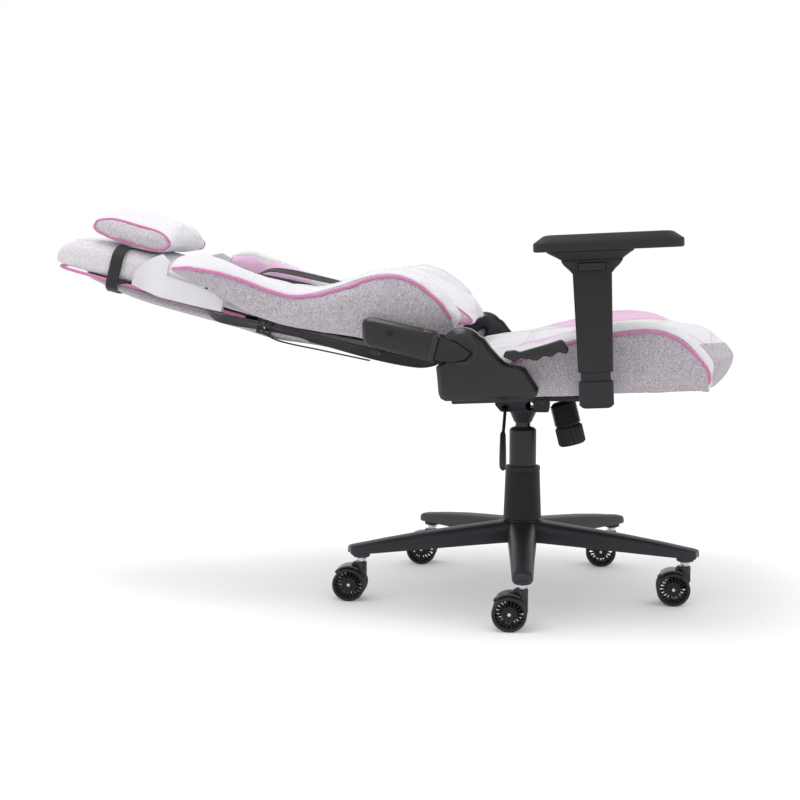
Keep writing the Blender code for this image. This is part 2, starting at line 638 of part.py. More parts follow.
def back_centre():
    """Centre back foam from the seat to the top of the head section."""
    rings = []
    for a in (0.034, 0.050, 0.100, 0.170, 0.250, 0.330, 0.400, 0.432, 0.452, 0.520, 0.600,
              0.680, 0.735, 0.755, HEAD_TOP):
        half = CENTRE_HALF if a < 0.440 else NECK_HALF - 0.0015
        if a > 0.74:
            half -= 0.010 * (a - 0.735) / (HEAD_TOP - 0.735)
        front = curve_value(CENTRE, a)
        rear = curve_value(SEAM, a) + MESH_GAP
        slant = 0.45 * max(0.0, 1 - (a - 0.034) / 0.12)
        edge = front - (0.006 if a < 0.44 else 0.016)
        section = [(rear, -half), (edge, -half), (front, -half * 0.86), (front, 0.0),
                   (front, half * 0.86), (edge, half), (rear, half)]
        rings.append([(n, y, a + slant * (front - n)) for n, y in section])
    smooth(loft("back_cushion", rings, FABRIC_WHITE, BACK), 50)


def back_bolster(name, side):
    """Side wing of the back: hip wing, waist and shoulder wing in one foam piece."""
    rings = []
    for a in (0.034, 0.050, 0.080, 0.115, 0.150, 0.190, 0.230, 0.275, 0.320, 0.370, 0.415,
              0.450, 0.485, 0.512, BOLSTER_TOP):
        inner = CENTRE_HALF + MESH_GAP if a < 0.430 else 0.2020
        if 0.400 < a < 0.430:
            inner += 0.012
        wide = curve_value(WIDTH, a)
        front = curve_value(CENTRE, a)
        ridge = curve_value(RIDGE, a)
        piping = curve_value(PIPING, a)
        rear = curve_value(WING_BACK, a)
        if a > 0.42:
            front = rear + 0.022
        slant = 0.45 * max(0.0, 1 - (a - 0.034) / 0.12)
        crest = max(0.216, inner + 0.012)
        section = [(rear, inner + 0.002), (front, inner), (ridge - 0.010, (inner + crest) / 2),
                   (ridge, crest), (ridge * 0.6 + piping * 0.4, (crest + wide) / 2),
                   (piping, wide), (rear + 0.006, wide - 0.003), (rear, wide - 0.014)]
        rings.append([(n, side * y, a + slant * (0.03 - n)) for n, y in section])
    smooth(loft(f"back_bolster_{name}", rings, FABRIC_GREY, BACK), 50)


def back_structure():
    """Steel tube frame in the pocket of the upholstered rear panel."""
    rings = []
    pocket = []
    for a in (0.062, 0.130, 0.200, 0.270, 0.339, 0.400, 0.500, 0.600, 0.652, 0.715):
        half = 0.186 if a < 0.38 else NECK_HALF - 0.001
        half -= 0.012 * max(0.0, (a - 0.62) / 0.1)
        rear = curve_value(PANEL_BACK, a)
        front = curve_value(SEAM, a)
        rings.append([(front, -half, a), (rear + 0.006, -half, a), (rear, -half + 0.012, a),
                      (rear, half - 0.012, a), (rear + 0.006, half, a), (front, half, a)])
        if 0.07 < a < 0.66:
            inset = half - 0.010
            pocket.append([(front + 0.004, -inset, a), (rear + 0.006, -inset, a),
                           (rear + 0.006, inset, a), (front + 0.004, inset, a)])
    panel = loft("back_panel", rings, FABRIC_GREY, BACK)
    combine(panel, loft("panel_pocket", pocket, None, BACK), 'DIFFERENCE')
    combine(panel, rod("frame_pass", (-0.0455, -0.30, 0.145), (-0.0455, 0.30, 0.145), 0.0084,
                       None, BACK), 'DIFFERENCE')
    half = [(-0.0455, -0.2625, 0.145), (-0.0455, -0.168, 0.145), (-0.0460, -0.156, 0.152),
            (-0.0475, -0.150, 0.175), (-0.0540, -0.150, 0.270), (-0.0630, -0.142, 0.345),
            (-0.0650, -0.118, 0.405), (-0.0650, -0.115, 0.540), (-0.0640, -0.105, 0.590),
            (-0.0632, -0.080, 0.606)]
    path = half + [(n, -y, a) for n, y, a in reversed(half)]
    tube("back_frame", path, 0.0070, STEEL_BLACK, BACK)


def back_arm(name, side):
    """Steel arm from the recline axis to the back frame, under its plastic cover."""
    shape = arc((0, 0), 0.0280, 180, 360, 9) + [(0.0130, 0.0350), (0.0090, 0.1600),
                                               (-0.0280, 0.1600), (-0.0300, 0.1560)]
    arm = side_plate(f"back_arm_{name}", shape, side * BACK_ARM_Y, side * (BACK_ARM_Y + 0.005),
                     STEEL_BLACK, BACK)
    across = Vector((0, 0.3, 0))
    combine(arm, rod(f"arm_bore_{name}", -across, across, 0.0064, None, BACK), 'DIFFERENCE')
    cover = side_plate(f"arm_cover_{name}",
                       [(0.0165, 0.0450), (0.0020, 0.0400), (-0.0200, 0.0372),
                        (-0.0340, 0.0360), (-0.0365, 0.1520), (-0.0320, 0.1670),
                        (-0.0010, 0.1755), (0.0080, 0.1705), (0.0120, 0.1600)],
                       side * (BRACKET_Y + MESH_GAP), side * (BRACKET_Y + ARM_COVER_DEPTH),
                       PLASTIC_DARK, BACK)
    bevel(cover, 0.005, 2, 50)


def belt_rim(name, side):
    """White plastic ring that lines the belt hole between the shoulder wing and the neck."""
    stations = [(0.1590, 0.6000, -0.024), (0.1800, 0.5920, -0.008), (0.2050, 0.5740, 0.008),
                (0.2290, 0.5540, 0.019), (0.2430, 0.5400, 0.014), (0.2440, 0.5350, 0.011),
                (0.2440, 0.5325, -0.014), (0.2440, 0.5200, -0.014),
                (0.2360, 0.4800, -0.017), (0.2260, 0.4500, -0.021), (0.2120, 0.4320, -0.032),
                (0.1860, 0.4340, -0.038), (0.1640, 0.4480, -0.030), (0.1540, 0.4800, -0.024),
                (0.1530, 0.5400, -0.024), (0.1530, 0.5850, -0.024)]
    middle = Vector((0.190, 0.515))
    rings = []
    for y, a, high in stations:
        place = Vector((y, a))
        inward = (middle - place).normalized() * 0.0042
        y2, a2 = place + inward
        rings.append([(-0.0530, side * y, a), (high, side * y, a), (high, side * y2, a2),
                      (-0.0530, side * y2, a2)])
    loft(f"belt_rim_{name}", rings, PLASTIC_WHITE, BACK, looped=True)


def lumbar_strap(name, side):
    """Webbing from the lumbar pillow, through the belt hole and down behind the back."""
    points = [(0.0440, 0.120, 0.190), (0.0290, 0.134, 0.250), (0.0240, 0.149, 0.330),
              (0.0200, 0.1650, 0.400), (0.0120, 0.1760, 0.440), (-0.0120, 0.1840, 0.468),
              (-0.0450, 0.1880, 0.474), (-0.0660, 0.1900, 0.448), (-0.0660, 0.1895, 0.410),
              (-0.0625, 0.1888, 0.355), (-0.0600, 0.1885, 0.260), (-0.0640, 0.1885, 0.150),
              (-0.0600, 0.1885, 0.070)]
    tips = [(0, 1, 0), (0.25, 1, 0), (0.5, 1, 0), (0.5, 1, 0), (0.25, 1, 0.15), (0, 1, 0),
            (0.1, 1, 0), (0.6, 0.8, 0)] + [(1, 0.12, 0)] * 5
    path = smooth_path([(n, side * y, a) for n, y, a in points], 3)
    across = smooth_path([(n, y * side, a) for n, y, a in tips], 3)
    band(f"lumbar_strap_{name}", path, 0.020, 0.0020, across, WEBBING, BACK)


def pillow(name, low, high, half_width, front, back_side, swell):
    """A crowned pillow with flat ends; front and back_side give its faces along the back."""
    rings = []
    for s in (-1.0, -0.93, -0.6, 0.0, 0.6, 0.93, 1.0):
        crown = 1.0 + swell * (1 - abs(s) ** 2.5)
        middle = (low + high) / 2
        reach = (high - low) / 2 * (1.0 - 0.05 * abs(s) ** 6)
        thick = (front - back_side) * crown * (1.0 - 0.06 * abs(s) ** 6)
        ring = []
        for u, v in arc((0, 0), 1.0, 0, 337.5, 16):
            ring.append((back_side + thick * (0.5 + 0.5 * math.copysign(abs(u) ** 0.7, u)),
                         half_width * s, middle + reach * math.copysign(abs(v) ** 0.8, v)))
        rings.append(ring)
    return smooth(loft(name, rings, FABRIC_WHITE, BACK), 50)


def head_strap():
    """Elastic webbing that holds the head pillow round the head section."""
    outer = [(-0.0480, -0.1520), (-0.0690, -0.1500), (-0.0775, -0.1320), (-0.0775, 0.1320),
             (-0.0690, 0.1500), (-0.0480, 0.1520), (-0.0080, 0.1515), (0.0062, 0.1310),
             (0.0068, 0.0), (0.0062, -0.1310), (-0.0080, -0.1515)]
    rings = []
    for n, y in outer:
        inner_y = y - math.copysign(min(abs(y), 0.0016), y)
        inner_n = n + 0.0014 if n < -0.06 else n - (0.0014 if n > 0 else 0.0)
        rings.append([(n, y, 0.641), (inner_n, inner_y, 0.641), (inner_n, inner_y, 0.662),
                      (n, y, 0.662)])
    loft("head_strap", rings, WEBBING, BACK, looped=True)


# ---- armrests -------------------------------------------------------------------------
def ring_at(z, x_low, x_high, y_mid, half):
    """Rectangle with clipped corners at a height."""
    clip = min(0.006, half * 0.45)
    return [(x_low + clip, y_mid - half, z), (x_high - clip, y_mid - half, z),
            (x_high, y_mid - half + clip, z), (x_high, y_mid + half - clip, z),
            (x_high - clip, y_mid + half, z), (x_low + clip, y_mid + half, z),
            (x_low, y_mid + half - clip, z), (x_low, y_mid - half + clip, z)]


def armrest(name, side):
    """Armrest that slides up its post, with a pad that turns and slides fore and aft."""
    x, reach = ARMREST
    y = side * reach
    rise = joint(f"armrest_rise_{name}", SEAT, (x, y, 0.5))
    press = joint(f"button_press_{name}", rise, (x, y + side * 0.018, 0.6080))
    turn = joint(f"pad_turn_{name}", rise, (x, y, SLEEVE_TOP))
    slide = joint(f"pad_slide_{name}", turn, (x, y, PAD_BOTTOM))

    socket = loft(f"arm_bracket_{name}", [
        ring_at(0.3740, x - 0.022, x + 0.022, y, 0.0140),
        ring_at(0.3790, x - 0.028, x + 0.028, y, 0.0190),
        ring_at(SOCKET_TOP, x - 0.0285, x + 0.0285, y, 0.0190)], PLASTIC_DARK, SEAT)
    post = loft(f"arm_post_{name}", [
        ring_at(SOCKET_TOP - 0.02, x - 0.0245, x + 0.0245, y, 0.0125),
        ring_at(0.575, x - 0.0245, x + 0.0245, y, 0.0125)], None, SEAT)
    combine(socket, post, 'UNION')
    top = PAN_BOTTOM - MESH_GAP
    low_y, high_y = sorted((side * 0.085, side * (reach - 0.010)))
    plate = box(f"bracket_plate_{name}", (x - 0.025, low_y, top - 0.006), (x + 0.025, high_y, top),
                None, SEAT)
    combine(socket, plate, 'UNION')

    sleeve = loft(f"arm_sleeve_{name}", [
        ring_at(SLEEVE_BOTTOM, x - 0.0285, x + 0.0285, y, 0.0170),
        ring_at(0.5960, x - 0.0325, x + 0.0315, y, 0.0185),
        ring_at(0.6100, x - 0.0460, x + 0.0450, y, 0.0215),
        ring_at(SLEEVE_TOP, x - 0.0510, x + 0.0505, y, 0.0235)], PLASTIC_DARK, rise)
    bore = loft(f"sleeve_bore_{name}", [
        ring_at(0.40, x - 0.0252, x + 0.0252, y, 0.0132),
        ring_at(0.590, x - 0.0252, x + 0.0252, y, 0.0132)], None, rise)
    combine(sleeve, bore, 'DIFFERENCE')
    low_y, high_y = sorted((y + side * 0.0175, y + side * 0.030))
    recess = box(f"button_recess_{name}", (x - 0.023, low_y, 0.6005), (x + 0.022, high_y, 0.6145),
                 None, rise)
    combine(sleeve, recess, 'DIFFERENCE')
    low_y, high_y = sorted((y + side * 0.0192, y + side * 0.0245))
    bevel(box(f"height_button_{name}", (x - 0.0222, low_y, 0.6012), (x + 0.0212, high_y, 0.6138),
              PLASTIC_DARK, press), 0.0010, 1)

    carrier_low = SLEEVE_TOP + MESH_GAP
    loft(f"pad_carrier_{name}", [
        ring_at(carrier_low, x - 0.0510, x + 0.0505, y, 0.0235),
        ring_at(carrier_low + 0.004, x - 0.0560, x + 0.0540, y, 0.0260),
        ring_at(PAD_BOTTOM - MESH_GAP, x - 0.0740, x + 0.0690, y, 0.0330)], PLASTIC_DARK, turn)
    rear, front = x - 0.095, x + 0.149
    rings = []
    for z, inset in ((PAD_BOTTOM, 0.003), (PAD_BOTTOM + 0.003, 0.0), (PAD_TOP - 0.013, 0.0),
                     (PAD_TOP - 0.002, 0.016), (PAD_TOP, 0.021)):
        ring = []
        for u, v in ((rear, 0.034), (rear + 0.016, 0.046), (rear + 0.070, 0.0500),
                     (front - 0.060, 0.0500), (front - 0.014, 0.043), (front, 0.030)):
            ring.append((u, v))
        ring += [(u, -v) for u, v in reversed(ring)]
        middle = (rear + front) / 2
        half = (front - rear) / 2
        rings.append([(middle + (u - middle) * (1 - inset / half),
                       y + v * (1 - inset * 0.62 / 0.05), z) for u, v in ring])
    smooth(loft(f"arm_pad_{name}", rings, RUBBER, slide), 28)


# ---- build ----------------------------------------------------------------------------
star_base()
column()
for index in range(ARM_COUNT):
    caster(index)
mechanism()
lift_lever()
seat_structure()
seat_cushion()
recline_lever()
rod("sync_rod", (PIVOT[0], -0.2730, PIVOT[2]), (PIVOT[0], 0.2730, PIVOT[2]), 0.0060,
    STEEL_BRIGHT, SEAT, sides=12)
back_centre()
back_structure()
for side_name, sign in SIDES:
    recliner(side_name, sign)
    back_bolster(side_name, sign)
    back_arm(side_name, sign)
    belt_rim(side_name, sign)
    lumbar_strap(side_name, sign)
    armrest(side_name, sign)
pillow("head_pillow", 0.567, 0.715, 0.140, 0.052, 0.0078, 0.42)
pillow("lumbar_pillow", 0.008, 0.192, 0.152, 0.072, 0.0235, 0.50)
head_strap()
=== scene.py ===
"""Visual scene for the reclining gaming chair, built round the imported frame."""
import math

import bmesh
import bpy
import numpy as np
from mathutils import Matrix, Vector
from mathutils import noise as noise_field
from mathutils.bvhtree import BVHTree

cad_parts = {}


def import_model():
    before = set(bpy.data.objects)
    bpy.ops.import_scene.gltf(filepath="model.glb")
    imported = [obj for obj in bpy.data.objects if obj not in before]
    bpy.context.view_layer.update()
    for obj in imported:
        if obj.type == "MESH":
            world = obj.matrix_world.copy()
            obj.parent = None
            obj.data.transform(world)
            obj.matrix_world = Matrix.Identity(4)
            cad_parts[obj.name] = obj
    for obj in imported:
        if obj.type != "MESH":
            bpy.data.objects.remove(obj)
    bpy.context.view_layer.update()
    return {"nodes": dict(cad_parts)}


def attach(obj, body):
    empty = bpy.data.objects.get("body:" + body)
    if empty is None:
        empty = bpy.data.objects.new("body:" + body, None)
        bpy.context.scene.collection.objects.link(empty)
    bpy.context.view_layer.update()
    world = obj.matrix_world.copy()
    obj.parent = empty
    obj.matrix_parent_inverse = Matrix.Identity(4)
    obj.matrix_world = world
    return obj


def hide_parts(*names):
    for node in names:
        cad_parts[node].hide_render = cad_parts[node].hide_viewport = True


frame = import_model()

# ---- frames -------------------------------------------------------------------------
COLUMN_X = 0.2345
SEAT_TILT = math.radians(2.5)
RECLINE = math.radians(73.0)
TILT_PIVOT = (0.035, 0.0, 0.362)
PIVOT = (-0.085, 0.0, 0.478)
TURN_Y = Vector((0, 1, 0))
BASE = Matrix.Translation((COLUMN_X, 0, 0))
SEAT = (BASE @ Matrix.Translation(TILT_PIVOT) @ Matrix.Rotation(-SEAT_TILT, 4, TURN_Y)
        @ Matrix.Translation(-Vector(TILT_PIVOT)))
BACK = SEAT @ Matrix.Translation(PIVOT) @ Matrix.Rotation(-RECLINE, 4, TURN_Y)
SIDES = (("right", -1.0), ("left", 1.0))

ARM_TURN = math.radians(2.55)
STEM_RADIUS = 0.308
BASE_RADIUS = 0.33
BASE_TOP = 0.1385
WHEEL_RADIUS = 0.03
CASTER_TRAIL = 0.021
SEAT_HALF = 0.262
NECK_HALF = 0.149
SEAT_SEAM = 0.158
WING_EDGE = 0.214
SHOULDER_FOOT = 0.352
STITCH_GAP = 0.0045
PIPE_LIFT = 0.002
PIPE_RADIUS = 0.0026
ARMREST_X = 0.135
ARMREST_Y = 0.31
SIDE_COVER_Y = 0.3115
POINTER_Y = SIDE_COVER_Y + 0.0052
ARM_COVER_Y = 0.296
LEVER_Y = -0.2935

PIPED = [(-0.14, 0.404), (-0.08, 0.424), (0.0, 0.453), (0.05, 0.4715), (0.08, 0.48), (0.16, 0.494),
         (0.235, 0.497), (0.28, 0.479), (0.31, 0.446), (0.322, 0.415), (0.322, 0.4)]
NOSE_SETBACK = [(0.389, 0.03), (0.396, 0.022), (0.405, 0.0135), (0.415, 0.007), (0.425, 0.0025),
                (0.436, 0.0), (0.446, 0.001)]
WIDTH = [(0.02, 0.228), (0.06, 0.25), (0.13, 0.262), (0.2, 0.26), (0.27, 0.25), (0.33, 0.243),
         (0.4, 0.25), (0.47, 0.264), (0.51, 0.263), (0.53, 0.246)]
PIPING = [(0.02, 0.018), (0.046, 0.046), (0.08, 0.07), (0.132, 0.0905), (0.18, 0.08),
          (0.253, 0.036), (0.304, 0.011), (0.345, 0.008), (0.41, 0.015), (0.463, 0.015),
          (0.507, 0.007), (0.53, -0.001)]
SEAM = [(0.06, -0.028), (0.17, -0.034), (0.24, -0.04), (0.3, -0.046), (0.345, -0.05),
        (0.4, -0.0555), (0.766, -0.0555)]
WING_BACK = [(0.02, -0.01), (0.06, -0.027), (0.17, -0.029), (0.24, -0.036), (0.345, -0.047),
             (0.4, -0.035), (0.44, -0.018), (0.53, -0.009)]
PANEL_BACK = [(0.06, -0.053), (0.135, -0.063), (0.254, -0.07), (0.339, -0.0795), (0.5, -0.081),
              (0.6, -0.079), (0.652, -0.072), (0.715, -0.0625)]


def curve_value(table, x):
    """Smooth value at x through a short table of (x, value) points."""
    if x <= table[0][0]:
        return table[0][1]
    if x >= table[-1][0]:
        return table[-1][1]
    for k in range(len(table) - 1):
        if x <= table[k + 1][0]:
            break
    before = table[max(k - 1, 0)]
    a, b = table[k], table[k + 1]
    after = table[min(k + 2, len(table) - 1)]
    slope_a = (b[1] - before[1]) / (b[0] - before[0])
    slope_b = (after[1] - a[1]) / (after[0] - a[0])
    span = b[0] - a[0]
    t = (x - a[0]) / span
    return (a[1] * (1 + 2 * t) * (1 - t) ** 2 + b[1] * t * t * (3 - 2 * t) + slope_a * span * t
            * (1 - t) ** 2 - slope_b * span * t * t * (1 - t))


def table_values(table, xs):
    """curve_value at many places, read from a fine sampling."""
    low, high = table[0][0], table[-1][0]
    grid = np.linspace(low, high, 400)
    return np.interp(xs, grid, [curve_value(table, x) for x in grid])


def arc(centre, radius, first, last, count):
    """Points on a circle between two angles in degrees."""
    turns = [math.radians(first + (last - first) * k / (count - 1)) for k in range(count)]
    return [(centre[0] + radius * math.cos(t), centre[1] + radius * math.sin(t)) for t in turns]


def smooth_path(points, per_span=6):
    """A smooth run of places through a few points."""
    tables = [[(k, point[i]) for k, point in enumerate(points)] for i in range(3)]
    steps = (len(points) - 1) * per_span
    return [tuple(curve_value(t, k / per_span) for t in tables) for k in range(steps + 1)]


# ---- materials ----------------------------------------------------------------------
def rgb(red, green, blue):
    """Scene colour from display values of 0 to 255."""
    linear = []
    for value in (red / 255, green / 255, blue / 255):
        linear.append(value / 12.92 if value <= 0.04045 else ((value + 0.055) / 1.055) ** 2.4)
    return (*linear, 1.0)


def add_node(tree, kind, inputs=None, **settings):
    """A shader node with its settings and the defaults of its inputs."""
    node = tree.nodes.new(kind)
    for key, value in settings.items():
        setattr(node, key, value)
    for key, value in (inputs or {}).items():
        node.inputs[key].default_value = value
    return node


def start_material(name, roughness, metallic=0.0, **extra):
    """A material with its shader, object coordinates and uniform values set."""
    mat = bpy.data.materials.new(name)
    mat.use_nodes = True
    tree = mat.node_tree
    shader = tree.nodes["Principled BSDF"]
    shader.inputs["Roughness"].default_value = roughness
    shader.inputs["Metallic"].default_value = metallic
    for key, value in extra.items():
        shader.inputs[key.replace("_", " ")].default_value = value
    coords = add_node(tree, "ShaderNodeTexCoord")
    return mat, tree, shader, coords


def noise(tree, coords, scale, detail=3.0, rough=0.6, stretch=None):
    """Noise on object coordinates, stretched along an axis if asked."""
    node = add_node(tree, "ShaderNodeTexNoise",
                    {"Scale": scale, "Detail": detail, "Roughness": rough})
    source = coords.outputs["Object"]
    if stretch:
        mapping = add_node(tree, "ShaderNodeMapping", {"Scale": stretch})
        tree.links.new(source, mapping.inputs["Vector"])
        source = mapping.outputs["Vector"]
    tree.links.new(source, node.inputs["Vector"])
    return node.outputs["Fac"]


def ramp(tree, source, stops):
    """Colours or greys along a value."""
    node = add_node(tree, "ShaderNodeValToRGB")
    elements = node.color_ramp.elements
    while len(elements) < len(stops):
        elements.new(0.5)
    for element, (place, colour) in zip(elements, stops):
        element.position = place
        element.color = colour if len(colour) == 4 else (*colour, 1.0)
    tree.links.new(source, node.inputs["Fac"])
    return node.outputs["Color"]


def grey(value):
    """A grey ramp stop."""
    return (value, value, value, 1.0)


def mix(tree, kind, fac, first, second):
    """Blend of two colours by a fixed share or a linked mask."""
    node = add_node(tree, "ShaderNodeMix", data_type='RGBA', blend_type=kind)
    if isinstance(fac, float):
        node.inputs[0].default_value = fac
    else:
        tree.links.new(fac, node.inputs[0])
    tree.links.new(first, node.inputs[6])
    tree.links.new(second, node.inputs[7])
    return node.outputs[2]


def bump(tree, shader, height, distance, strength=0.6):
    """Surface relief from a height."""
    node = add_node(tree, "ShaderNodeBump", {"Strength": strength, "Distance": distance})
    tree.links.new(height, node.inputs["Height"])
    tree.links.new(node.outputs["Normal"], shader.inputs["Normal"])


def weave_group():
    """Plain weave height, laid on the three faces of space and blended by the normal."""
    group = bpy.data.node_groups.new("weave", "ShaderNodeTree")
    for socket, way, kind in (("Place", 'INPUT', 'NodeSocketVector'),
                              ("Normal", 'INPUT', 'NodeSocketVector'),
                              ("Pitch", 'INPUT', 'NodeSocketFloat'),
                              ("Height", 'OUTPUT', 'NodeSocketFloat')):
        group.interface.new_socket(socket, in_out=way, socket_type=kind)
    enter = group.nodes.new("NodeGroupInput")
    leave = group.nodes.new("NodeGroupOutput")
    link = group.links.new
    scaled = add_node(group, "ShaderNodeVectorMath", operation='SCALE')
    link(enter.outputs["Place"], scaled.inputs[0])
    link(enter.outputs["Pitch"], scaled.inputs["Scale"])
    wave = add_node(group, "ShaderNodeVectorMath", operation='SINE')
    link(scaled.outputs[0], wave.inputs[0])
    split = group.nodes.new("ShaderNodeSeparateXYZ")
    link(wave.outputs[0], split.inputs[0])
    joined = group.nodes.new("ShaderNodeCombineXYZ")
    for k, (a, b) in enumerate(((1, 2), (0, 2), (0, 1))):
        product = add_node(group, "ShaderNodeMath", operation='MULTIPLY')
        link(split.outputs[a], product.inputs[0])
        link(split.outputs[b], product.inputs[1])
        link(product.outputs[0], joined.inputs[k])
    share = add_node(group, "ShaderNodeVectorMath", operation='MULTIPLY')
    link(enter.outputs["Normal"], share.inputs[0])
    link(enter.outputs["Normal"], share.inputs[1])
    total = add_node(group, "ShaderNodeVectorMath", operation='DOT_PRODUCT')
    link(joined.outputs[0], total.inputs[0])
    link(share.outputs[0], total.inputs[1])
    link(total.outputs["Value"], leave.inputs["Height"])
    return group


WEAVE = weave_group()


def weave(tree, coords, pitch):
    """Height of a plain weave whose yarns are pitch metres apart."""
    node = add_node(tree, "ShaderNodeGroup", node_tree=WEAVE)
    node.inputs["Pitch"].default_value = math.pi / pitch
    tree.links.new(coords.outputs["Object"], node.inputs["Place"])
    tree.links.new(coords.outputs["Normal"], node.inputs["Normal"])
    return node.outputs["Height"]


def threads(tree, coords, size):
    """A random value for every short length of thread."""
    place = add_node(tree, "ShaderNodeMapping", {"Scale": (1 / size, 1 / size, 1 / size)})
    tree.links.new(coords.outputs["Object"], place.inputs["Vector"])
    whole = add_node(tree, "ShaderNodeVectorMath", operation='FLOOR')
    tree.links.new(place.outputs["Vector"], whole.inputs[0])
    chance = add_node(tree, "ShaderNodeTexWhiteNoise")
    tree.links.new(whole.outputs["Vector"], chance.inputs["Vector"])
    return chance.outputs["Value"]


def as_grey(tree, value):
    """A value as a grey, so that two of them can be blended."""
    return ramp(tree, value, [(0.0, grey(0.0)), (1.0, grey(1.0))])


def fabric(name, light, dark, pitch=0.0011, spread=(0.38, 0.62), broad=0.1, relief=0.0006,
           sheen=0.2):
    """Heather cloth: mixed light and dark yarns in a plain weave, with soft patches of wear and
    painted shade between the yarns.
    """
    mat, tree, shader, coords = start_material(name, 0.9, Sheen_Weight=sheen, Sheen_Roughness=0.45)
    flecks = noise(tree, coords, 560, 3.0, 0.7)
    yarns = noise(tree, coords, 330, 2.0, 0.6, (1.0, 1.0, 0.6))
    cells = threads(tree, coords, 0.001)
    melange = mix(tree, 'MIX', 0.62, ramp(tree, mix(tree, 'MIX', 0.5, flecks, yarns),
                                          [(spread[0], dark), (spread[1], light)]),
                  ramp(tree, cells, [(0.15, dark), (0.85, light)]))
    patch = ramp(tree, noise(tree, coords, 14, 3.0, 0.55),
                 [(0.3, grey(1.0 - broad)), (0.7, grey(1.0))])
    woven = weave(tree, coords, pitch)
    # painted shade: the colour is darkened to 0.9 where the weave is low, between the yarns
    shade = ramp(tree, woven, [(0.0, grey(0.9)), (0.6, grey(1.0))])
    colour = mix(tree, 'MULTIPLY', 1.0, mix(tree, 'MULTIPLY', 1.0, melange, patch), shade)
    tree.links.new(colour, shader.inputs["Base Color"])
    rough = ramp(tree, flecks, [(0.3, grey(0.82)), (0.7, grey(0.97))])
    tree.links.new(rough, shader.inputs["Roughness"])
    height = mix(tree, 'ADD', 0.6, as_grey(tree, flecks), as_grey(tree, woven))
    bump(tree, shader, height, relief)
    return mat


def moulded(name, colour, rough=(0.4, 0.55), grain=900, relief=0.00025, edge=1.35, coat=0.0,
            metallic=0.0, gloss=0.22):
    """Moulded or painted surface: fine grain, uneven gloss, and paler convex edges that stand for
    wear and for a painted highlight.
    """
    mat, tree, shader, coords = start_material(name, rough[0], metallic, Coat_Weight=coat,
                                               Specular_IOR_Level=gloss)
    geometry = add_node(tree, "ShaderNodeNewGeometry")
    # pointiness makes convex edges paler: partly edge wear, partly a painted highlight along the
    # edges
    tone_shift = ramp(tree, geometry.outputs["Pointiness"], [(0.5, grey(0.0)), (0.58, grey(1.0))])
    pale = tuple(min(1.0, c * edge + 0.01) for c in colour[:3])
    cloud = noise(tree, coords, 22, 4.0, 0.6)
    base = ramp(tree, cloud, [(0.3, tuple(c * 0.9 for c in colour[:3])),
                              (0.7, tuple(min(1.0, c * 1.08) for c in colour[:3]))])
    edge_wear_and_highlight = ramp(tree, cloud, [(0.3, pale), (0.7, tuple(min(1.0, c * 1.1) for c in pale))])
    tree.links.new(mix(tree, 'MIX', tone_shift, base, edge_wear_and_highlight), shader.inputs["Base Color"])
    fine = noise(tree, coords, grain, 2.0, 0.5)
    uneven = mix(tree, 'MIX', 0.5, as_grey(tree, fine), as_grey(tree, cloud))
    tree.links.new(ramp(tree, uneven, [(0.3, grey(rough[0])), (0.7, grey(rough[1]))]),
                   shader.inputs["Roughness"])
    bump(tree, shader, fine, relief, 0.5)
    return mat


def webbing(name, colour, pitch=0.0016):
    """Woven strap: ribs with painted shade between them, fine yarns and a slight fade."""
    mat, tree, shader, coords = start_material(name, 0.7, Sheen_Weight=0.15)
    woven = weave(tree, coords, pitch)
    fade = noise(tree, coords, 40, 3.0, 0.6)
    # painted shade: the colour falls to 0.6 of itself where the weave is low, between the ribs
    ribs_with_painted_shade = ramp(tree, woven, [(0.0, tuple(c * 0.6 for c in colour[:3])), (0.7, colour)])
    tone_shift = ramp(tree, fade, [(0.3, grey(0.8)), (0.8, grey(1.0))])
    tree.links.new(mix(tree, 'MULTIPLY', 1.0, ribs_with_painted_shade, tone_shift), shader.inputs["Base Color"])
    tree.links.new(ramp(tree, fade, [(0.3, grey(0.62)), (0.7, grey(0.8))]),
                   shader.inputs["Roughness"])
    bump(tree, shader, woven, 0.0005, 0.8)
    return mat


def polished(name, colour, rough=0.18):
    """Turned steel: fine lines round the part and slight smears."""
    mat, tree, shader, coords = start_material(name, rough, 1.0)
    lines = noise(tree, coords, 160, 3.0, 0.6, (1.0, 1.0, 14.0))
    smear = noise(tree, coords, 35, 3.0, 0.6)
    tree.links.new(ramp(tree, smear, [(0.3, tuple(c * 0.9 for c in colour[:3])), (0.7, colour)]),
                   shader.inputs["Base Color"])
    tree.links.new(ramp(tree, lines, [(0.3, grey(rough)), (0.7, grey(rough + 0.12))]),
                   shader.inputs["Roughness"])
    bump(tree, shader, lines, 0.00008, 0.4)
    return mat


WHITE_CLOTH = fabric("white_heather", rgb(240, 239, 242), rgb(216, 213, 219), broad=0.03)
GREY_CLOTH = fabric("grey_heather", rgb(216, 209, 216), rgb(134, 126, 134), broad=0.04)
PINK_CLOTH = fabric("pink_weave", rgb(240, 203, 230), rgb(226, 180, 216), broad=0.04)
END_CLOTH = fabric("end_heather", rgb(226, 221, 227), rgb(172, 165, 172), broad=0.05)
PALE_CLOTH = fabric("pale_heather", rgb(238, 235, 239), rgb(196, 191, 197), broad=0.04)
PIPE_CLOTH = fabric("pink_piping", rgb(222, 142, 190), rgb(196, 110, 160), pitch=0.0007, broad=0.06,
                    relief=0.0003)
THREAD = fabric("sewing_thread", rgb(240, 236, 242), rgb(205, 200, 208), pitch=0.0005, broad=0.02,
                relief=0.0001)
WEB_CLOTH = webbing("black_web", rgb(34, 34, 37))
WHITE_SHELL = moulded("white_shell", rgb(208, 207, 211), (0.28, 0.4), relief=0.0001, edge=1.0,
                      coat=0.15)
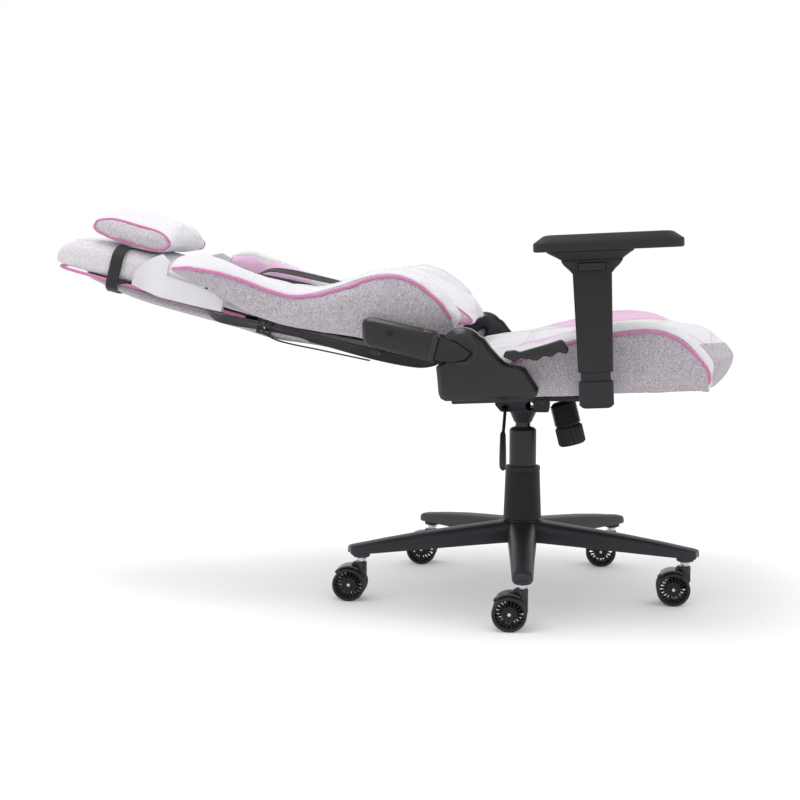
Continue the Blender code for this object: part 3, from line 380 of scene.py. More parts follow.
DARK_SHELL = moulded("dark_shell", rgb(12, 12, 14), (0.22, 0.32), gloss=0.42)
SLEEVE_SHELL = moulded("sleeve_shell", rgb(26, 25, 29), (0.42, 0.54))
GLOSS_SHELL = moulded("gloss_shell", rgb(24, 23, 27), (0.2, 0.32), relief=0.0001)
PAD_SKIN = moulded("pad_skin", rgb(31, 31, 35), (0.48, 0.6), grain=700, relief=0.0004)
PAINT = moulded("powder_coat", rgb(40, 39, 44), (0.36, 0.48), grain=1300, relief=0.0002,
                metallic=0.25)
TUBE_PAINT = moulded("tube_coat", rgb(38, 38, 42), (0.34, 0.44), grain=1500, relief=0.0001,
                     metallic=0.3)
TYRE_SKIN = moulded("tyre_skin", rgb(28, 28, 31), (0.45, 0.6), grain=1100)
STEEL = polished("turned_steel", rgb(205, 205, 208))
ROD_STEEL = polished("black_rod", rgb(58, 58, 62), 0.22)


# ---- mesh helpers -------------------------------------------------------------------
def add_object(name, data):
    """A scene object for a mesh, light or camera."""
    obj = bpy.data.objects.new(name, data)
    bpy.context.scene.collection.objects.link(obj)
    return obj


def set_shading(mesh, angle):
    """Smooth shading with sharp edges beyond an angle in degrees."""
    mesh.shade_smooth()
    mesh.set_sharp_from_angle(angle=math.radians(angle))


def give_material(obj, mat):
    """Give the whole object one material."""
    slots = obj.data.materials
    slots.clear()
    slots.append(mat)


def make(name, verts, faces, matrix, mat, angle=35.0):
    """A mesh object placed in the row frame, smooth except at real corners."""
    mesh = bpy.data.meshes.new(name)
    mesh.from_pydata([tuple(v) for v in verts], [], [tuple(f) for f in faces])
    mesh.transform(matrix)
    shape = bmesh.new()
    shape.from_mesh(mesh)
    bmesh.ops.recalc_face_normals(shape, faces=shape.faces)
    shape.to_mesh(mesh)
    shape.free()
    mesh.materials.append(mat)
    set_shading(mesh, angle)
    return add_object(name, mesh)


def flatten(obj):
    """Give the object the mesh that its modifiers make."""
    graph = bpy.context.evaluated_depsgraph_get()
    mesh = bpy.data.meshes.new_from_object(obj.evaluated_get(graph))
    obj.modifiers.clear()
    obj.data = mesh
    return obj


def settle(obj, body, slot, *nodes):
    """Ride a body and stand for CAD nodes, which are hidden; slot is not used."""
    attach(obj, body)
    if nodes:
        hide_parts(*nodes)
    return obj


def round_edges(obj, width, segments=2, angle=35.0, shade=35.0):
    """Bevel the real corners and keep the result as the mesh."""
    mod = obj.modifiers.new("edges", 'BEVEL')
    mod.width = width
    mod.segments = segments
    mod.limit_method = 'ANGLE'
    mod.angle_limit = math.radians(angle)
    mod.use_clamp_overlap = segments > 1
    flatten(obj)
    set_shading(obj.data, shade)
    return obj


def cut(obj, *others):
    """Take other objects out of obj."""
    for other in others:
        mod = obj.modifiers.new("cut", 'BOOLEAN')
        mod.operation = 'DIFFERENCE'
        mod.solver = 'EXACT'
        mod.object = other
        flatten(obj)
        bpy.data.objects.remove(other, do_unlink=True)
    set_shading(obj.data, 32)
    return obj


def join(name, objects):
    """Several meshes as one piece."""
    shape = bmesh.new()
    mats = []
    for obj in objects:
        start = len(shape.faces)
        shape.from_mesh(obj.data)
        shape.faces.ensure_lookup_table()
        mat = obj.data.materials[0]
        if mat not in mats:
            mats.append(mat)
        for face in shape.faces[start:]:
            face.material_index = mats.index(mat)
    mesh = bpy.data.meshes.new(name)
    shape.to_mesh(mesh)
    shape.free()
    for mat in mats:
        mesh.materials.append(mat)
    for obj in objects:
        bpy.data.objects.remove(obj, do_unlink=True)
    mesh.set_sharp_from_angle(angle=math.radians(35))
    return add_object(name, mesh)


def loft(name, rings, matrix, mat, looped=False, angle=35.0):
    """A closed skin over rings of points that all have the same count."""
    count = len(rings[0])
    verts = [point for ring in rings for point in ring]
    faces = []
    last = len(rings) if looped else len(rings) - 1
    for k in range(last):
        near, far = k * count, ((k + 1) % len(rings)) * count
        for i in range(count):
            j = (i + 1) % count
            faces.append((near + i, near + j, far + j, far + i))
    if not looped:
        faces.append(range(count))
        faces.append(range((len(rings) - 1) * count, len(rings) * count))
    return make(name, verts, faces, matrix, mat, angle)


def spin(name, profile, matrix, mat, steps=48, closed=False, flutes=0, depth=0.0, angle=32.0):
    """A profile of (radius, height) turned about Z, fluted where the radius is largest."""
    largest = max(r for r, _ in profile)
    verts, rows = [], []
    for r, z in profile:
        row = []
        for k in range(steps if r > 1e-6 else 1):
            turn = 2 * math.pi * k / steps
            here = r
            if flutes and r > largest - 0.0035:
                here -= depth * (0.5 - 0.5 * math.cos(flutes * turn)) ** 2
            row.append(len(verts))
            verts.append((here * math.cos(turn), here * math.sin(turn), z))
        rows.append(row)
    faces = []
    pairs = list(zip(rows, rows[1:]))
    if closed:
        pairs.append((rows[-1], rows[0]))
    for near, far in pairs:
        for k in range(steps):
            j = (k + 1) % steps
            if len(near) == 1:
                faces.append((near[0], far[j], far[k]))
            elif len(far) == 1:
                faces.append((near[k], near[j], far[0]))
            else:
                faces.append((near[k], near[j], far[j], far[k]))
    return make(name, verts, faces, matrix, mat, angle)


def plate(name, points, low, high, matrix, mat, angle=35.0):
    """An outline of (x, z) points from one y to another."""
    count = len(points)
    verts = [(x, low, z) for x, z in points] + [(x, high, z) for x, z in points]
    faces = [tuple(range(count)), tuple(range(count, 2 * count))]
    faces += [(i, (i + 1) % count, count + (i + 1) % count, count + i) for i in range(count)]
    return make(name, verts, faces, matrix, mat, angle)


def box_outline(x_low, x_high, z_low, z_high):
    """Corners of a rectangle of (x, z)."""
    return [(x_low, z_low), (x_high, z_low), (x_high, z_high), (x_low, z_high)]


def side_plate(name, points, side, near, far, matrix, mat):
    """A plate between two distances from the middle, on one side of the chair."""
    low, high = sorted((side * near, side * far))
    return plate(name, points, low, high, matrix, mat)


def frames_along(points, closed=False):
    """Each point of a path with two directions across it that don't twist."""
    count = len(points)
    places = [Vector(p) for p in points]
    normal = None
    result = []
    for k, here in enumerate(places):
        ahead = places[(k + 1) % count] if closed else places[min(k + 1, count - 1)]
        behind = places[k - 1] if closed or k else places[0]
        along = (ahead - behind).normalized()
        if normal is None:
            normal = along.orthogonal().normalized()
        normal = (normal - along * normal.dot(along)).normalized()
        result.append((here, normal.copy(), along.cross(normal)))
    return result


def tube(name, points, radius, matrix, mat, closed=False, sides=10):
    """A round tube along a path, with rounded ends."""
    rings = []
    stations = frames_along(points, closed)
    for k, (here, u, v) in enumerate(stations):
        size = radius
        if not closed and k in (0, len(stations) - 1):
            size = radius * 0.6
        rings.append([here + (u * math.cos(t) + v * math.sin(t)) * size
                      for t in (2 * math.pi * i / sides for i in range(sides))])
    return loft(name, rings, matrix, mat, looped=closed, angle=60.0)


def band(name, path, across, width, thickness, matrix, mat):
    """Flat webbing along a path, a little thicker at its woven edges."""
    rings = []
    last = len(path) - 1
    for k, place in enumerate(path):
        here = Vector(place)
        ahead = Vector(path[min(k + 1, last)]) - Vector(path[max(k - 1, 0)])
        side = Vector(across[k]).normalized() * width / 2
        up = ahead.cross(side).normalized()
        half = thickness / 2
        ring = []
        for s, h in ((-1, 0.4), (-0.96, 1.0), (-0.86, 1.0), (-0.8, 0.7), (0.8, 0.7), (0.86, 1.0),
                     (0.96, 1.0), (1, 0.4)):
            ring.append(here + side * s + up * half * h)
        ring += [here + side * s - up * half * h for s,
                 h in ((1, 0.4), (0.96, 1.0), (0.8, 0.8), (-0.8, 0.8), (-0.96, 1.0), (-1, 0.4))]
        rings.append(ring)
    return loft(name, rings, matrix, mat, angle=50.0)


def screw(at, radius, matrix, mat, turn, depth=0.0012):
    """A button-head screw with a round socket; local +Z is outward after turn."""
    head = [(0.0, depth * 0.3), (radius * 0.45, depth * 0.3), (radius * 0.5, depth),
            (radius * 0.8, depth * 0.9), (radius, depth * 0.25), (radius, -depth)]
    return spin("screw", head, matrix @ Matrix.Translation(at) @ turn, mat, steps=24)


OUT_RIGHT = Matrix.Rotation(math.radians(90), 4, 'X')
OUT_LEFT = Matrix.Rotation(math.radians(-90), 4, 'X')


def outward(side):
    """Turn that takes +Z to the chair's right or left."""
    return OUT_RIGHT if side < 0 else OUT_LEFT


# ---- soft goods ---------------------------------------------------------------------
def coordinates(obj):
    """Vertex places as an array."""
    places = np.empty(len(obj.data.vertices) * 3)
    obj.data.vertices.foreach_get("co", places)
    return places.reshape(-1, 3)


def set_coordinates(obj, places):
    """Write vertex places back."""
    obj.data.vertices.foreach_set("co", places.ravel())
    obj.data.update()


def normals(obj):
    """Vertex normals as an array."""
    values = np.empty(len(obj.data.vertices) * 3)
    obj.data.vertex_normals.foreach_get("vector", values)
    return values.reshape(-1, 3)


def relax(obj, steps, factor=0.5):
    """Smooth the mesh in place."""
    mod = obj.modifiers.new("relax", 'SMOOTH')
    mod.factor = factor
    mod.iterations = steps
    return flatten(obj)


def finer(obj):
    """Split every face once, smoothly."""
    mod = obj.modifiers.new("finer", 'SUBSURF')
    mod.levels = 1
    mod.render_levels = 1
    return flatten(obj)


def inflate(obj, pressure, cap, frames=20):
    """Swell the closed skin with a cloth simulation and cap how far it moves."""
    start = coordinates(obj)
    mod = obj.modifiers.new("cloth", 'CLOTH')
    cloth = mod.settings
    cloth.quality = 4
    cloth.mass = 0.3
    cloth.tension_stiffness = 12
    cloth.compression_stiffness = 12
    cloth.shear_stiffness = 6
    cloth.bending_stiffness = 0.4
    cloth.use_pressure = True
    cloth.uniform_pressure_force = pressure
    cloth.effector_weights.gravity = 0
    mod.collision_settings.use_collision = False
    mod.point_cache.frame_start = 1
    mod.point_cache.frame_end = frames
    scene = bpy.context.scene
    for number in range(1, frames + 1):
        scene.frame_set(number)
    graph = bpy.context.evaluated_depsgraph_get()
    result = obj.evaluated_get(graph)
    moved = np.empty(len(start) * 3)
    result.data.vertices.foreach_get("co", moved)
    moved = moved.reshape(-1, 3) - start
    obj.modifiers.clear()
    scene.frame_set(1)
    length = np.maximum(np.linalg.norm(moved, axis=1, keepdims=True), 1e-9)
    set_coordinates(obj, start + moved * np.minimum(1.0, cap / length))
    return obj


def fit(obj, source, matrix):
    """Scale the form, in its leaning part's coordinates, to the box of its CAD solid."""
    own = local(matrix, coordinates(obj))
    goal = local(matrix, coordinates(source))
    low, high = own.min(0), own.max(0)
    placed = (own - low) / (high - low) * (goal.max(0) - goal.min(0)) + goal.min(0)
    set_coordinates(obj, unlocal(matrix, placed))


def padded_skin(name, source, mat, matrix, voxel=0.006, shrink=0.004, pressure=4.0, cap=0.01,
                steps=3, filler=None):
    """A stuffed form grown from a CAD node, as large as that node, its pocket filled."""
    obj = add_object(name, source.data.copy())
    if filler:
        obj = join(name, [obj, filler])
    mod = obj.modifiers.new("voxels", 'REMESH')
    mod.mode = 'VOXEL'
    mod.voxel_size = voxel
    flatten(obj)
    relax(obj, steps)
    set_coordinates(obj, coordinates(obj) - normals(obj) * shrink)
    inflate(obj, pressure, cap)
    finer(obj)
    fit(obj, source, matrix)
    give_material(obj, mat)
    obj.data.shade_smooth()
    return obj


def distances(places, path):
    """Distance of each place from a path, and which point of the path is nearest."""
    best = np.full(len(places), 1e9)
    for point in path:
        gap = places - np.array(point)
        best = np.minimum(best, np.einsum("ij,ij->i", gap, gap))
    return np.sqrt(best)


def dense(path, step=0.004):
    """The path with points about a step apart."""
    result = []
    for a, b in zip(path, path[1:]):
        a, b = Vector(a), Vector(b)
        count = max(1, int((b - a).length / step))
        result += [a.lerp(b, k / count) for k in range(count)]
    result.append(Vector(path[-1]))
    return result


def groove(obj, paths, width, depth):
    """Pull the skin in along seams given in the row frame."""
    places = coordinates(obj)
    near = np.full(len(places), 1e9)
    for path in paths:
        near = np.minimum(near, distances(places, dense(path)))
    share = np.clip(1 - near / width, 0, 1) ** 2
    set_coordinates(obj, places - normals(obj) * (share * depth)[:, None])
    return obj


def wrinkle(obj, scale, height, seed):
    """Low soft unevenness, the same on every run."""
    places = coordinates(obj)
    offset = Vector((seed * 3.1, seed * 1.7, seed * 2.3))
    values = np.array([noise_field.noise(Vector(p) * scale + offset) for p in places])
    set_coordinates(obj, places + normals(obj) * (values * height)[:, None])
    return obj


def skin_tree(obj):
    """A tree that finds the nearest place on the skin."""
    mesh = obj.data
    return BVHTree.FromPolygons([v.co for v in mesh.vertices],
                                [tuple(p.vertices) for p in mesh.polygons])


def on_skin(tree, path, lift):
    """The path moved onto the skin and raised by lift."""
    result = []
    for point in path:
        place, normal, _, _ = tree.find_nearest(Vector(point))
        result.append(place + normal * lift)
    return result


def ease(path, steps=2, closed=False):
    """A path with its small kinks smoothed away."""
    points = [Vector(p) for p in path]
    count = len(points)
    for _ in range(steps):
        fresh = list(points)
        for k in range(count):
            if not closed and k in (0, count - 1):
                continue
            fresh[k] = (points[k - 1] + points[k] * 2 + points[(k + 1) % count]) / 4
        points = fresh
    return points


def panel(name, source, inside, mat, lift=0.0006, thick=0.0016):
    """A sewn panel: the part of a skin where inside(places) > 0, as its own thin closed piece."""
    shape = bmesh.new()
    shape.from_mesh(source.data)
    places = np.array([v.co for v in shape.verts])
    values = inside(places)
    values[np.abs(values) < 1e-5] = 1e-5
    value_of = {v: f for v, f in zip(shape.verts, values)}
    fresh = set()
    for edge in list(shape.edges):
        a, b = edge.verts
        fa, fb = value_of[a], value_of[b]
        if fa * fb < 0:
            _, vert = bmesh.utils.edge_split(edge, a, fa / (fa - fb))
            value_of[vert] = 0.0
            fresh.add(vert)
    for face in list(shape.faces):
        ends = [v for v in face.verts if v in fresh]
        if len(ends) == 2:
            bmesh.utils.face_split(face, ends[0], ends[1])
    out = [f for f in shape.faces if sum(value_of.get(v, 0.0) for v in f.verts) <= 0]
    bmesh.ops.delete(shape, geom=out, context='FACES')
    bmesh.ops.remove_doubles(shape, verts=shape.verts, dist=0.0002)
    mesh = bpy.data.meshes.new(name)
    shape.to_mesh(mesh)
    shape.free()
    obj = add_object(name, mesh)
    set_coordinates(obj, coordinates(obj) + normals(obj) * lift)
    mod = obj.modifiers.new("cloth_thickness", 'SOLIDIFY')
    mod.thickness = thick
    mod.offset = -1.0
    flatten(obj)
    give_material(obj, mat)
    obj.data.shade_smooth()
    return obj


def stitches(name, paths, pitch=0.0062, length=0.0042, radius=0.00055):
    """A row of small raised stitches along each path."""
    verts, faces = [], []
    for path in paths:
        points = dense(path, 0.002)
        run = 0.0
        following = pitch
        for a, b in zip(points, points[1:]):
            step = (b - a).length
            run += step
            if run < following or step < 1e-7:
                continue
            following += pitch
            along = (b - a).normalized()
            u = along.orthogonal().normalized()
            v = along.cross(u)
            start = len(verts)
            verts.append(b - along * length / 2)
            for t in (-0.3, 0.3):
                for k in range(5):
                    turn = 2 * math.pi * k / 5
                    verts.append(b + along * length * t + (u * math.cos(turn) + v * math.sin(turn))
                                 * radius)
            verts.append(b + along * length / 2)
            for k in range(5):
                j = (k + 1) % 5
                faces.append((start, start + 1 + j, start + 1 + k))
                faces.append((start + 1 + k, start + 1 + j, start + 6 + j, start + 6 + k))
                faces.append((start + 11, start + 6 + k, start + 6 + j))
    return make(name, verts, faces, Matrix.Identity(4), THREAD, 60.0)


def piping(name, path, radius, body, closed=False):
    """Covered cord along a seam, in the row frame."""
    cord = tube(name, path, radius, Matrix.Identity(4), PIPE_CLOTH, closed)
    settle(cord, body, "pink_fabric")


def twin_rows(tree, paths, gap, lift):
    """Rows of places on both sides of each path, gap away and lifted off the skin."""
    return [on_skin(tree, [p + Vector(gap) * s for p in path], lift) for path in paths
            for s in (-1, 1)]


def local(matrix, places):
    """Places in the row frame, as coordinates of a leaning part."""
    back = np.array(matrix.inverted())
    return places @ back[:3, :3].T + back[:3, 3]


def unlocal(matrix, spot):
    """Coordinates of a leaning part, as places in the row frame."""
    forward = np.array(matrix)
    return spot @ forward[:3, :3].T + forward[:3, 3]


def world(matrix, path):
    """A path given in a leaning part's coordinates, in the row frame."""
    return [matrix @ Vector(p) for p in path]


# ---- seat ---------------------------------------------------------------------------
def pan_fill():
    """A block that closes the pan's pocket under the seat foam."""
    outline = [(-0.114, -0.236), (0.325, -0.236), (0.338, -0.15), (0.352, 0.0), (0.338, 0.15),
               (0.325, 0.236), (-0.114, 0.236)]
    rings = [[(x, y, z) for x, y in outline] for z in (0.3895, 0.416)]
    return loft("pan_fill", rings, SEAT, WHITE_CLOTH)


def seat_bottom(skin):
    """A flat underside with a firm edge, pressed up where the steel pan lies."""
    spot = local(SEAT, coordinates(skin))
    fall = np.clip((0.44 - spot[:, 2]) / 0.051, 0, 1)
    spot[:, 2] = np.maximum(spot[:, 2] - 0.01 * fall, 0.389)
    facing = normals(skin) @ np.array(SEAT.to_3x3())[:, 0]
    edge = 0.38 - 0.061 * (np.abs(spot[:, 1]) / SEAT_HALF) ** 2.6
    goal = edge - table_values(NOSE_SETBACK, spot[:, 2])
    nose = np.clip((facing - 0.1) / 0.35, 0, 1) * np.clip((0.446 - spot[:, 2]) / 0.01, 0, 1)
    nose = nose * (spot[:, 0] > edge - 0.06) * np.clip((0.25 - np.abs(spot[:, 1])) / 0.03, 0, 1)
    spot[:, 0] = spot[:, 0] + (goal - spot[:, 0]) * nose
    pan = frame["nodes"]["seat_pan"]
    tree = skin_tree(pan)
    up = (SEAT.to_3x3() @ Vector((0, 0, 1))).normalized()
    for i, place in enumerate(spot):
        if place[2] < 0.4 and abs(place[1]) < 0.232:
            start = SEAT @ Vector((place[0], place[1], 0.38))
            if tree.ray_cast(start, up, 0.05)[0] is not None:
                spot[i, 2] = max(place[2], 0.3925)
    set_coordinates(skin, unlocal(SEAT, spot))


def seat_skin():
    """Bucket seat: one stuffed form with side, inner and front panels, piping and channels."""
    skin = padded_skin("seat_foam", frame["nodes"]["seat_cushion"], WHITE_CLOTH, SEAT, voxel=0.0065,
                       shrink=0.003, cap=0.008, filler=pan_fill())
    seat_bottom(skin)
    pipes = {}
    for name, side in SIDES:
        top = [(x, side * SEAT_HALF, curve_value(PIPED, x)) for x in np.linspace(-0.128, 0.318, 60)]
        pipes[name] = world(SEAT, top + [(0.324, side * 0.256, z)
                                         for z in (0.43, 0.422, 0.414, 0.406, 0.398)])
    inner = {name: world(SEAT, [(x, side * (SEAT_SEAM + 0.03 * max(0.0, (x - 0.2) / 0.15) ** 2),
                                 0.5) for x in np.linspace(-0.13, 0.335, 60)]) for name,
             side in SIDES}
    crest = {name: world(SEAT, [(x, side * 0.222, 0.55) for x in np.linspace(-0.13, 0.3, 60)])
             for name, side in SIDES}
    tree = skin_tree(skin)
    for name in pipes:
        pipes[name] = ease(on_skin(tree, pipes[name], 0.0), 3)
        inner[name] = ease(drop(tree, inner[name], SEAT), 3)
        crest[name] = ease(drop(tree, crest[name], SEAT), 3)
    channels = [ease(drop(tree, world(SEAT, [(x, y, 0.55) for y in np.linspace(-0.15, 0.15, 40)]),
                          SEAT), 2) for x in (-0.06, 0.02, 0.1, 0.18, 0.26)]
    front = ease(drop(tree, world(SEAT,
                                  [(0.335 + 0.012 * math.cos(y * 8), y, 0.55)
                                   for y in np.linspace(-0.19, 0.19, 50)]), SEAT), 2)
    seams = list(pipes.values()) + list(inner.values()) + channels + [front]
    for _, side in SIDES:
        nose = world(SEAT, [(0.45, side * 0.2185, z) for z in np.linspace(0.478, 0.4, 16)])
        seams.append(drop(tree, nose, SEAT, (-1, 0, 0)))
    groove(skin, seams, 0.012, 0.0032)
    groove(skin, list(crest.values()), 0.007, 0.0012)
    wrinkle(skin, 16.0, 0.0022, 3)
    settle(skin, "seat", "white_fabric", "seat_cushion")
    tree = skin_tree(skin)
    for name, side in SIDES:
        def gusset(places):
            spot = local(SEAT, places)
            below = table_values(PIPED, spot[:, 0]) - spot[:, 2]
            return least(below, side * spot[:, 1] - 0.228, 0.322 - spot[:, 0])

        def pinked(places):
            spot = local(SEAT, places)
            lean = SEAT_SEAM + 0.03 * np.clip((spot[:, 0] - 0.2) / 0.15, 0, 1) ** 2
            lean = lean + 0.066 * np.clip(1 - (spot[:, 0] - 0.004) / 0.085, 0, 1)
            side_gap = side * spot[:, 1] - lean
            brow = 0.226 - 0.05 * np.clip((spot[:, 0] - 0.2) / 0.085, 0, 1) ** 2
            return least(side_gap, brow - side * spot[:, 1], spot[:, 2] - 0.44, 0.3 - spot[:, 0])

        settle(panel(f"seat_side_{name}", skin, gusset, GREY_CLOTH), "seat", "grey_fabric")
        settle(panel(f"seat_inner_{name}", skin, pinked, PINK_CLOTH, 0.0004), "seat", "pink_fabric")
        piping(f"seat_piping_{name}", ease(on_skin(tree, pipes[name], PIPE_LIFT), 2), PIPE_RADIUS,
               "seat")

    def nose_cloth(places):
        spot = local(SEAT, places)
        top = 0.466 - 0.012 * np.clip(1 - np.abs(spot[:, 1]) / 0.2, 0, 1)
        wide = 0.218 + 0.02 * np.clip((0.47 - spot[:, 2]) / 0.03, 0, 1)
        return least(top - spot[:, 2], wide - np.abs(spot[:, 1]), spot[:, 0] - 0.28)

    settle(panel("seat_front", skin, nose_cloth, GREY_CLOTH), "seat", "grey_fabric")
    rows = [on_skin(tree, beside(path, s * STITCH_GAP), 0.001) for s in (1, -1)
            for path in channels + [front]]
    rows += [on_skin(tree, beside(pipes[name], 0.006), 0.0012) for name in pipes]
    rows += [on_skin(tree, beside(inner[name], 0.0035), 0.0014) for name in inner]
    settle(stitches("seat_stitches", rows), "seat", "white_fabric")


def least(*values):
    """Smallest of several values at each place."""
    return np.minimum.reduce(values)


def drop(tree, path, matrix, direction=(0, 0, -1)):
    """Each point let fall onto the skin along a direction of a leaning part."""
    way = matrix.to_3x3() @ Vector(direction)
    result = []
    for point in path:
        place, _, _, _ = tree.ray_cast(Vector(point), way)
        if place is None:
            place, _, _, _ = tree.find_nearest(Vector(point))
        result.append(place)
    return result


def beside(path, gap):
    """A path moved sideways and level, or along X where it runs nearly upright."""
    result = []
    last = len(path) - 1
    for k, point in enumerate(path):
        along = (Vector(path[min(k + 1, last)]) - Vector(path[max(k - 1, 0)])).normalized()
        way = Vector((0, 0, 1)).cross(along)
        if way.length < 0.3:
            way = Vector((1, 0, 0))
        result.append(Vector(point) + way.normalized() * gap)
    return result


# ---- back ---------------------------------------------------------------------------
def slant_of(a):
    """How far the foot of the back leans toward the seat."""
    return 0.45 * np.clip(1 - (a - 0.034) / 0.12, 0, None)


def back_place(n, y, a):
    """A foam place given by its section height."""
    return BACK @ Vector((n, y, a + float(slant_of(a)) * (0.03 - n)))


def section_height(spot):
    """Section height of places in the back's coordinates, undoing the foot's lean."""
    a = spot[:, 2].copy()
    for _ in range(4):
        a = spot[:, 2] - slant_of(a) * (0.03 - spot[:, 0])
    return a


def centre_skin():
    """Centre of the back and the head section, with sewn channels."""
    skin = padded_skin("back_foam", frame["nodes"]["back_cushion"], WHITE_CLOTH, BACK, voxel=0.0065,
                       shrink=0.003, cap=0.006)
    tree = skin_tree(skin)
    channels = []
    for a in (0.215, 0.29, 0.365, 0.44, 0.52):
        reach = 0.128 if a < 0.43 else 0.118
        path = [BACK @ Vector((0.12, y, a)) for y in np.linspace(-reach, reach, 36)]
        channels.append(ease(drop(tree, path, BACK, (-1, 0, 0)), 2))
    sides = []
    for _, side in SIDES:
        path = [BACK @ Vector((0.12, side * (0.132 if a < 0.43 else 0.122), a))
                for a in np.linspace(0.06, 0.74, 90)]
        sides.append(ease(drop(tree, path, BACK, (-1, 0, 0)), 3))
    groove(skin, channels + sides, 0.011, 0.003)
    wrinkle(skin, 15.0, 0.002, 5)
    settle(skin, "back", "white_fabric", "back_cushion")
    tree = skin_tree(skin)
    rows = twin_rows(tree, channels, (STITCH_GAP, 0, 0), 0.001)
    rows += twin_rows(tree, sides, (0, STITCH_GAP, 0), 0.001)
    settle(stitches("back_stitches", rows), "back", "white_fabric")

    def head_sides(places):
        spot = local(BACK, places)
        return least(spot[:, 2] - 0.56, np.abs(spot[:, 1]) - 0.132, 0.004 - spot[:, 0])

    settle(panel("head_sides", skin, head_sides, PALE_CLOTH), "back", "grey_fabric")
    rim = [BACK @ Vector((-0.057, -NECK_HALF + 0.001, a)) for a in np.linspace(0.4, 0.745, 40)]
    rim += [BACK @ Vector((-0.057, y, 0.763)) for y in np.linspace(-0.134, 0.134, 30)]
    rim += [BACK @ Vector((-0.057, NECK_HALF - 0.001, a)) for a in np.linspace(0.745, 0.4, 40)]
    piping("head_piping", ease(rim, 8), PIPE_RADIUS + 0.0002, "back")


def droop(skin, sag):
    """Let the lower end of a pillow settle toward the back, down to a narrow edge."""
    spot = local(BACK, coordinates(skin))
    share = np.clip((0.135 - spot[:, 2]) / 0.125, 0, 1)
    above = np.clip((spot[:, 0] - 0.02) / 0.05, 0, 1)
    spot[:, 0] -= sag * share ** 1.3 * above
    spot[:, 2] -= 0.3 * sag * share
    set_coordinates(skin, unlocal(BACK, spot))


def wing(name, side):
    """Side wing: grey gusset, light outer strip, pink inner panel and piping."""
    skin = padded_skin(f"wing_foam_{name}", frame["nodes"][f"back_bolster_{name}"], GREY_CLOTH,
                       BACK, voxel=0.006, shrink=0.003, cap=0.006)
    droop(skin, 0.012)
    tree = skin_tree(skin)
    pipe = [back_place(curve_value(PIPING, a), side * (curve_value(WIDTH, a) + 0.002), a)
            for a in np.linspace(0.04, 0.528, 90)]
    pipe = ease(on_skin(tree, pipe, 0.0), 4)
    edge = ease(drop(tree, [back_place(0.16, side * WING_EDGE, a)
                            for a in np.linspace(0.045, 0.52, 80)], BACK, (-1, 0, 0)), 4)
    groove(skin, [pipe], 0.01, 0.0022)
    groove(skin, [edge], 0.01, 0.0022)
    wrinkle(skin, 17.0, 0.0018, 7)
    settle(skin, "back", "grey_fabric", f"back_bolster_{name}")
    tree = skin_tree(skin)

    def strip(places):
        spot = local(BACK, places)
        a = section_height(spot)
        over = spot[:, 0] - table_values(PIPING, a)
        return np.minimum(over, side * spot[:, 1] - WING_EDGE)

    def inside(places):
        spot = local(BACK, places)
        a = section_height(spot)
        front = spot[:, 0] - (table_values(WING_BACK, a) + 0.012)
        return np.minimum(front, WING_EDGE - side * spot[:, 1])

    def shoulder(places):
        spot = local(BACK, places)
        a = section_height(spot)
        return least(inside(places), 0.524 - a, a - SHOULDER_FOOT)

    def slope(places):
        a = section_height(local(BACK, places))
        return np.minimum(inside(places), SHOULDER_FOOT - a)

    settle(panel(f"wing_strip_{name}", skin, strip, WHITE_CLOTH), "back", "white_fabric")
    settle(panel(f"wing_shoulder_{name}", skin, shoulder, PINK_CLOTH), "back", "pink_fabric")
    settle(panel(f"wing_slope_{name}", skin, slope, WHITE_CLOTH), "back", "white_fabric")
    piping(f"wing_piping_{name}", ease(on_skin(tree, pipe, PIPE_LIFT), 2), PIPE_RADIUS + 0.0001,
           "back")
    rows = [on_skin(tree, [p + Vector((0, -side * 0.0065, 0)) for p in pipe], 0.0014),
            on_skin(tree, [p + Vector((0, side * 0.0045, 0)) for p in edge], 0.0014)]
    settle(stitches(f"wing_stitches_{name}", rows), "back", "white_fabric")


def rear_panel():
    """Upholstered rear panel with a seam down each side."""
    rings = []
    for a in np.linspace(0.062, 0.716, 34):
        half = 0.186 - 0.038 * min(1.0, max(0.0, (a - 0.355) / 0.05))
        half -= 0.012 * max(0.0, (a - 0.62) / 0.1)
        rear = curve_value(PANEL_BACK, a)
        front = curve_value(SEAM, a) + 0.0012
        ends = min(1.0, (a - 0.062) / 0.012, (0.716 - a) / 0.012)
        deep = front + (rear - front) * (0.55 + 0.45 * math.sqrt(max(0.0, ends)))
        ring = [(front, -half, a), (deep + 0.007, -half, a), (deep + 0.002, -half + 0.005, a)]
        ring += [(deep - 0.0015 * (1 - (y / half) ** 2), y, a)
                 for y in np.linspace(-half + 0.014, half - 0.014, 13)]
        ring += [(deep + 0.002, half - 0.005, a), (deep + 0.007, half, a), (front, half, a)]
        rings.append(ring)
    skin = loft("rear_panel", rings, BACK, GREY_CLOTH, angle=70)
    finer(skin)
    tree = skin_tree(skin)
    seams = []
    for side in (-1, 1):
        path = [BACK @ Vector((-0.15, side * (0.158 - 0.036 * min(1, max(0, (a - 0.33) / 0.08))),
                               a)) for a in np.linspace(0.08, 0.7, 60)]
        seams.append(ease(drop(tree, path, BACK, (1, 0, 0)), 3))
    for a in (0.3, 0.52):
        reach = 0.156 if a < 0.4 else 0.12
        path = [BACK @ Vector((-0.15, y, a)) for y in np.linspace(-reach, reach, 30)]
        seams.append(drop(tree, path, BACK, (1, 0, 0)))
    groove(skin, seams, 0.008, 0.0018)
    skin.data.shade_smooth()
    settle(skin, "back", "grey_fabric", "back_panel")
    tree = skin_tree(skin)
    rows = twin_rows(tree, seams[:2], (0, 0.004, 0), 0.0008)
    rows += twin_rows(tree, seams[2:], (0.004, 0, 0), 0.0008)
    settle(stitches("rear_stitches", rows), "back", "grey_fabric")


